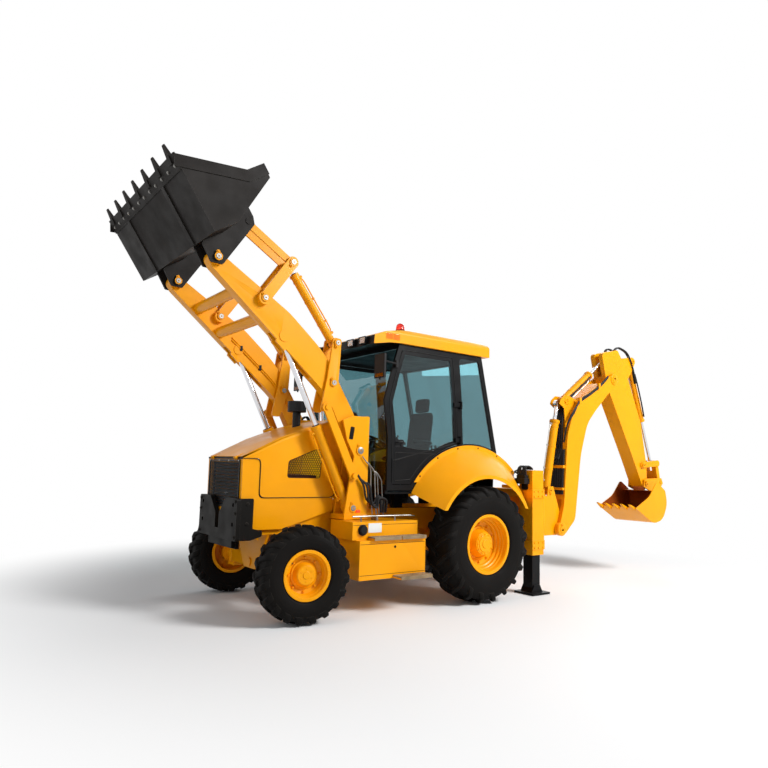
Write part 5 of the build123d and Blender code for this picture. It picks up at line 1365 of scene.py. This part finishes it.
piece("valve_block", valve, "black_plastic", bevel=0.004)
loops = [hose(885 + 26 * k, 1, [(-805, 1430, 0), (-800, 1500 + 14 * (k % 3), 0), (-850, 1548, 0),
                                (-905, 1525, 6), (-915, 1506, 8)], 0.010) for k in range(6)]
piece("valve_hoses", loops, "hose_rubber")
print("dipper hoses", len(back), "carriage hoses", len(bow), "valve hoses", len(loops))

# %% [markdown]
# The frame behind the machine is a weld of box beams. Rows of bolts clamp the carriage to the slide beams
# and hold the legs' boxes, and a bolted cap closes the kingpost's upper bearing.

# %% Frame bolts and kingpost cap
spots = [(x, z) for z in (560, 620, 1180, 1240) for x in (-1040, -962, -885)]
fix = [copies(bolt(0.011, 0.009), route(hand * 1080, *spots), (0, hand, 0)) for hand in HANDS]
piece("leg_box_bolts", fix, "yellow_paint")
spots = [row(-1140, HOE_Y + y, z) for z in (520, 660, 1140, 1280) for y in (-220, -110, 110, 220)]
piece("carriage_bolts", copies(bolt(0.013, 0.011), spots, (-1, 0, 0)), "black_paint", "carriage")
POST = (-1480, HOE_Y)
cap = turned([(0, 0), (0, 0.062), (0.010, 0.062), (0.014, 0.056), (0.014, 0)], 40, row(*POST, 1250), UP)
ring_of_bolts = copies(bolt(0.010, 0.008), around(row(*POST, 1264), 0.040, 6, UP), UP)
piece("kingpost_cap", [cap, ring_of_bolts], "black_paint", "kingpost")
print("backhoe pieces", len(pieces))

# %% [markdown]
# ## Studio
# The machine stands on a pale floor under a broad lamp on its left, a little behind the camera's view of
# it, with a weak fill from the front. The world gives soft light from everywhere, and shows itself as white
# to the camera, in reflections and through glass, so chrome and windows see a white room. The floor keeps
# the machine's shadow near it, and turns into white paper beyond the shadow's reach, so it has no horizon.

# %% Floor
def seen_rays(tree):
    """Returns 1 for rays that the eye follows: straight, mirrored or through glass."""
    path = node(tree, "ShaderNodeLightPath")
    first = node(tree, "ShaderNodeMath", {0: path.outputs["Is Camera Ray"], 1: path.outputs["Is Glossy Ray"]},
                 operation="MAXIMUM")
    return node(tree, "ShaderNodeMath", {0: first.outputs["Value"], 1: path.outputs["Is Transmission Ray"]},
                operation="MAXIMUM").outputs["Value"]


FLOOR = 60.0
SHADOW_REACH = (3.5, 6.5)
mesh = bpy.data.meshes.new("studio_floor")
corners = [(FLOOR * x, FLOOR * y, -0.002) for x, y in ((-1, -1), (1, -1), (1, 1), (-1, 1))]
mesh.from_pydata(corners, [], [(0, 1, 2, 3)])
floor = bpy.data.objects.new("studio_floor", mesh)
bpy.context.scene.collection.objects.link(floor)
floor_paint = bpy.data.materials.new("floor_white")
floor_paint.use_nodes = True
tree = floor_paint.node_tree
matt = tree.nodes["Principled BSDF"]
matt.inputs["Base Color"].default_value = (0.86, 0.86, 0.86, 1)
matt.inputs["Roughness"].default_value = 0.9
where = node(tree, "ShaderNodeTexCoord").outputs["Object"]
away = node(tree, "ShaderNodeVectorMath", {0: where}, operation="LENGTH")
ring_of_white = node(tree, "ShaderNodeMapRange", {"Value": away.outputs["Value"]},
                     interpolation_type="SMOOTHSTEP", s_From_Min=SHADOW_REACH[0], s_From_Max=SHADOW_REACH[1])
seen = seen_rays(tree)
share = node(tree, "ShaderNodeMath", {0: seen, 1: ring_of_white.outputs["Result"]}, operation="MULTIPLY")
paper = node(tree, "ShaderNodeEmission", s_Strength=1.0)
blend = node(tree, "ShaderNodeMixShader", {0: share.outputs["Value"], 1: matt.outputs["BSDF"],
                                           2: paper.outputs["Emission"]})
tree.links.new(blend.outputs["Shader"], tree.nodes["Material Output"].inputs["Surface"])
mesh.materials.append(floor_paint)
floor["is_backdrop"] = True
print("floor is white beyond", SHADOW_REACH[1], "m")

# %% [markdown]
# The key lamp is high on the machine's left and a little behind, so that it models the arms and leaves the
# front softly lit. Two wide, weak lamps lift the front and the back.

# %% Lamps
def lamp(name, place, size, power):
    """Hangs a square white lamp that looks at the machine's middle."""
    data = bpy.data.lights.new(name, "AREA")
    data.size = size
    data.energy = power
    made = bpy.data.objects.new(name, data)
    made.location = place
    made.rotation_euler = (MIDDLE - Vector(place)).to_track_quat("-Z", "Y").to_euler()
    bpy.context.scene.collection.objects.link(made)


MIDDLE = Vector((0.3, 0, 1.4))
lamp("key_lamp", (-4.6, 10.0, 8.6), 4.0, 1950)
lamp("front_lamp", (9.0, 2.0, 5.0), 7.0, 150)
lamp("back_lamp", (-8.0, -6.0, 7.0), 6.0, 260)

# %% World
world = bpy.data.worlds.new("studio_world")
bpy.context.scene.world = world
world.use_nodes = True
tree = world.node_tree
tree.nodes.clear()
seen = seen_rays(tree)
soft_light = node(tree, "ShaderNodeBackground", s_Color=(0.9, 0.95, 1.0, 1), s_Strength=0.24)
white = node(tree, "ShaderNodeBackground", s_Color=(1, 1, 1, 1), s_Strength=1.0)
choice = node(tree, "ShaderNodeMixShader", {0: seen, 1: soft_light.outputs["Background"],
                                            2: white.outputs["Background"]})
node(tree, "ShaderNodeOutputWorld", {"Surface": choice.outputs["Shader"]})
bpy.context.scene.view_settings.view_transform = "Standard"
print("world", world.name)

# %% Sizes before and after
dressed_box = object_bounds()
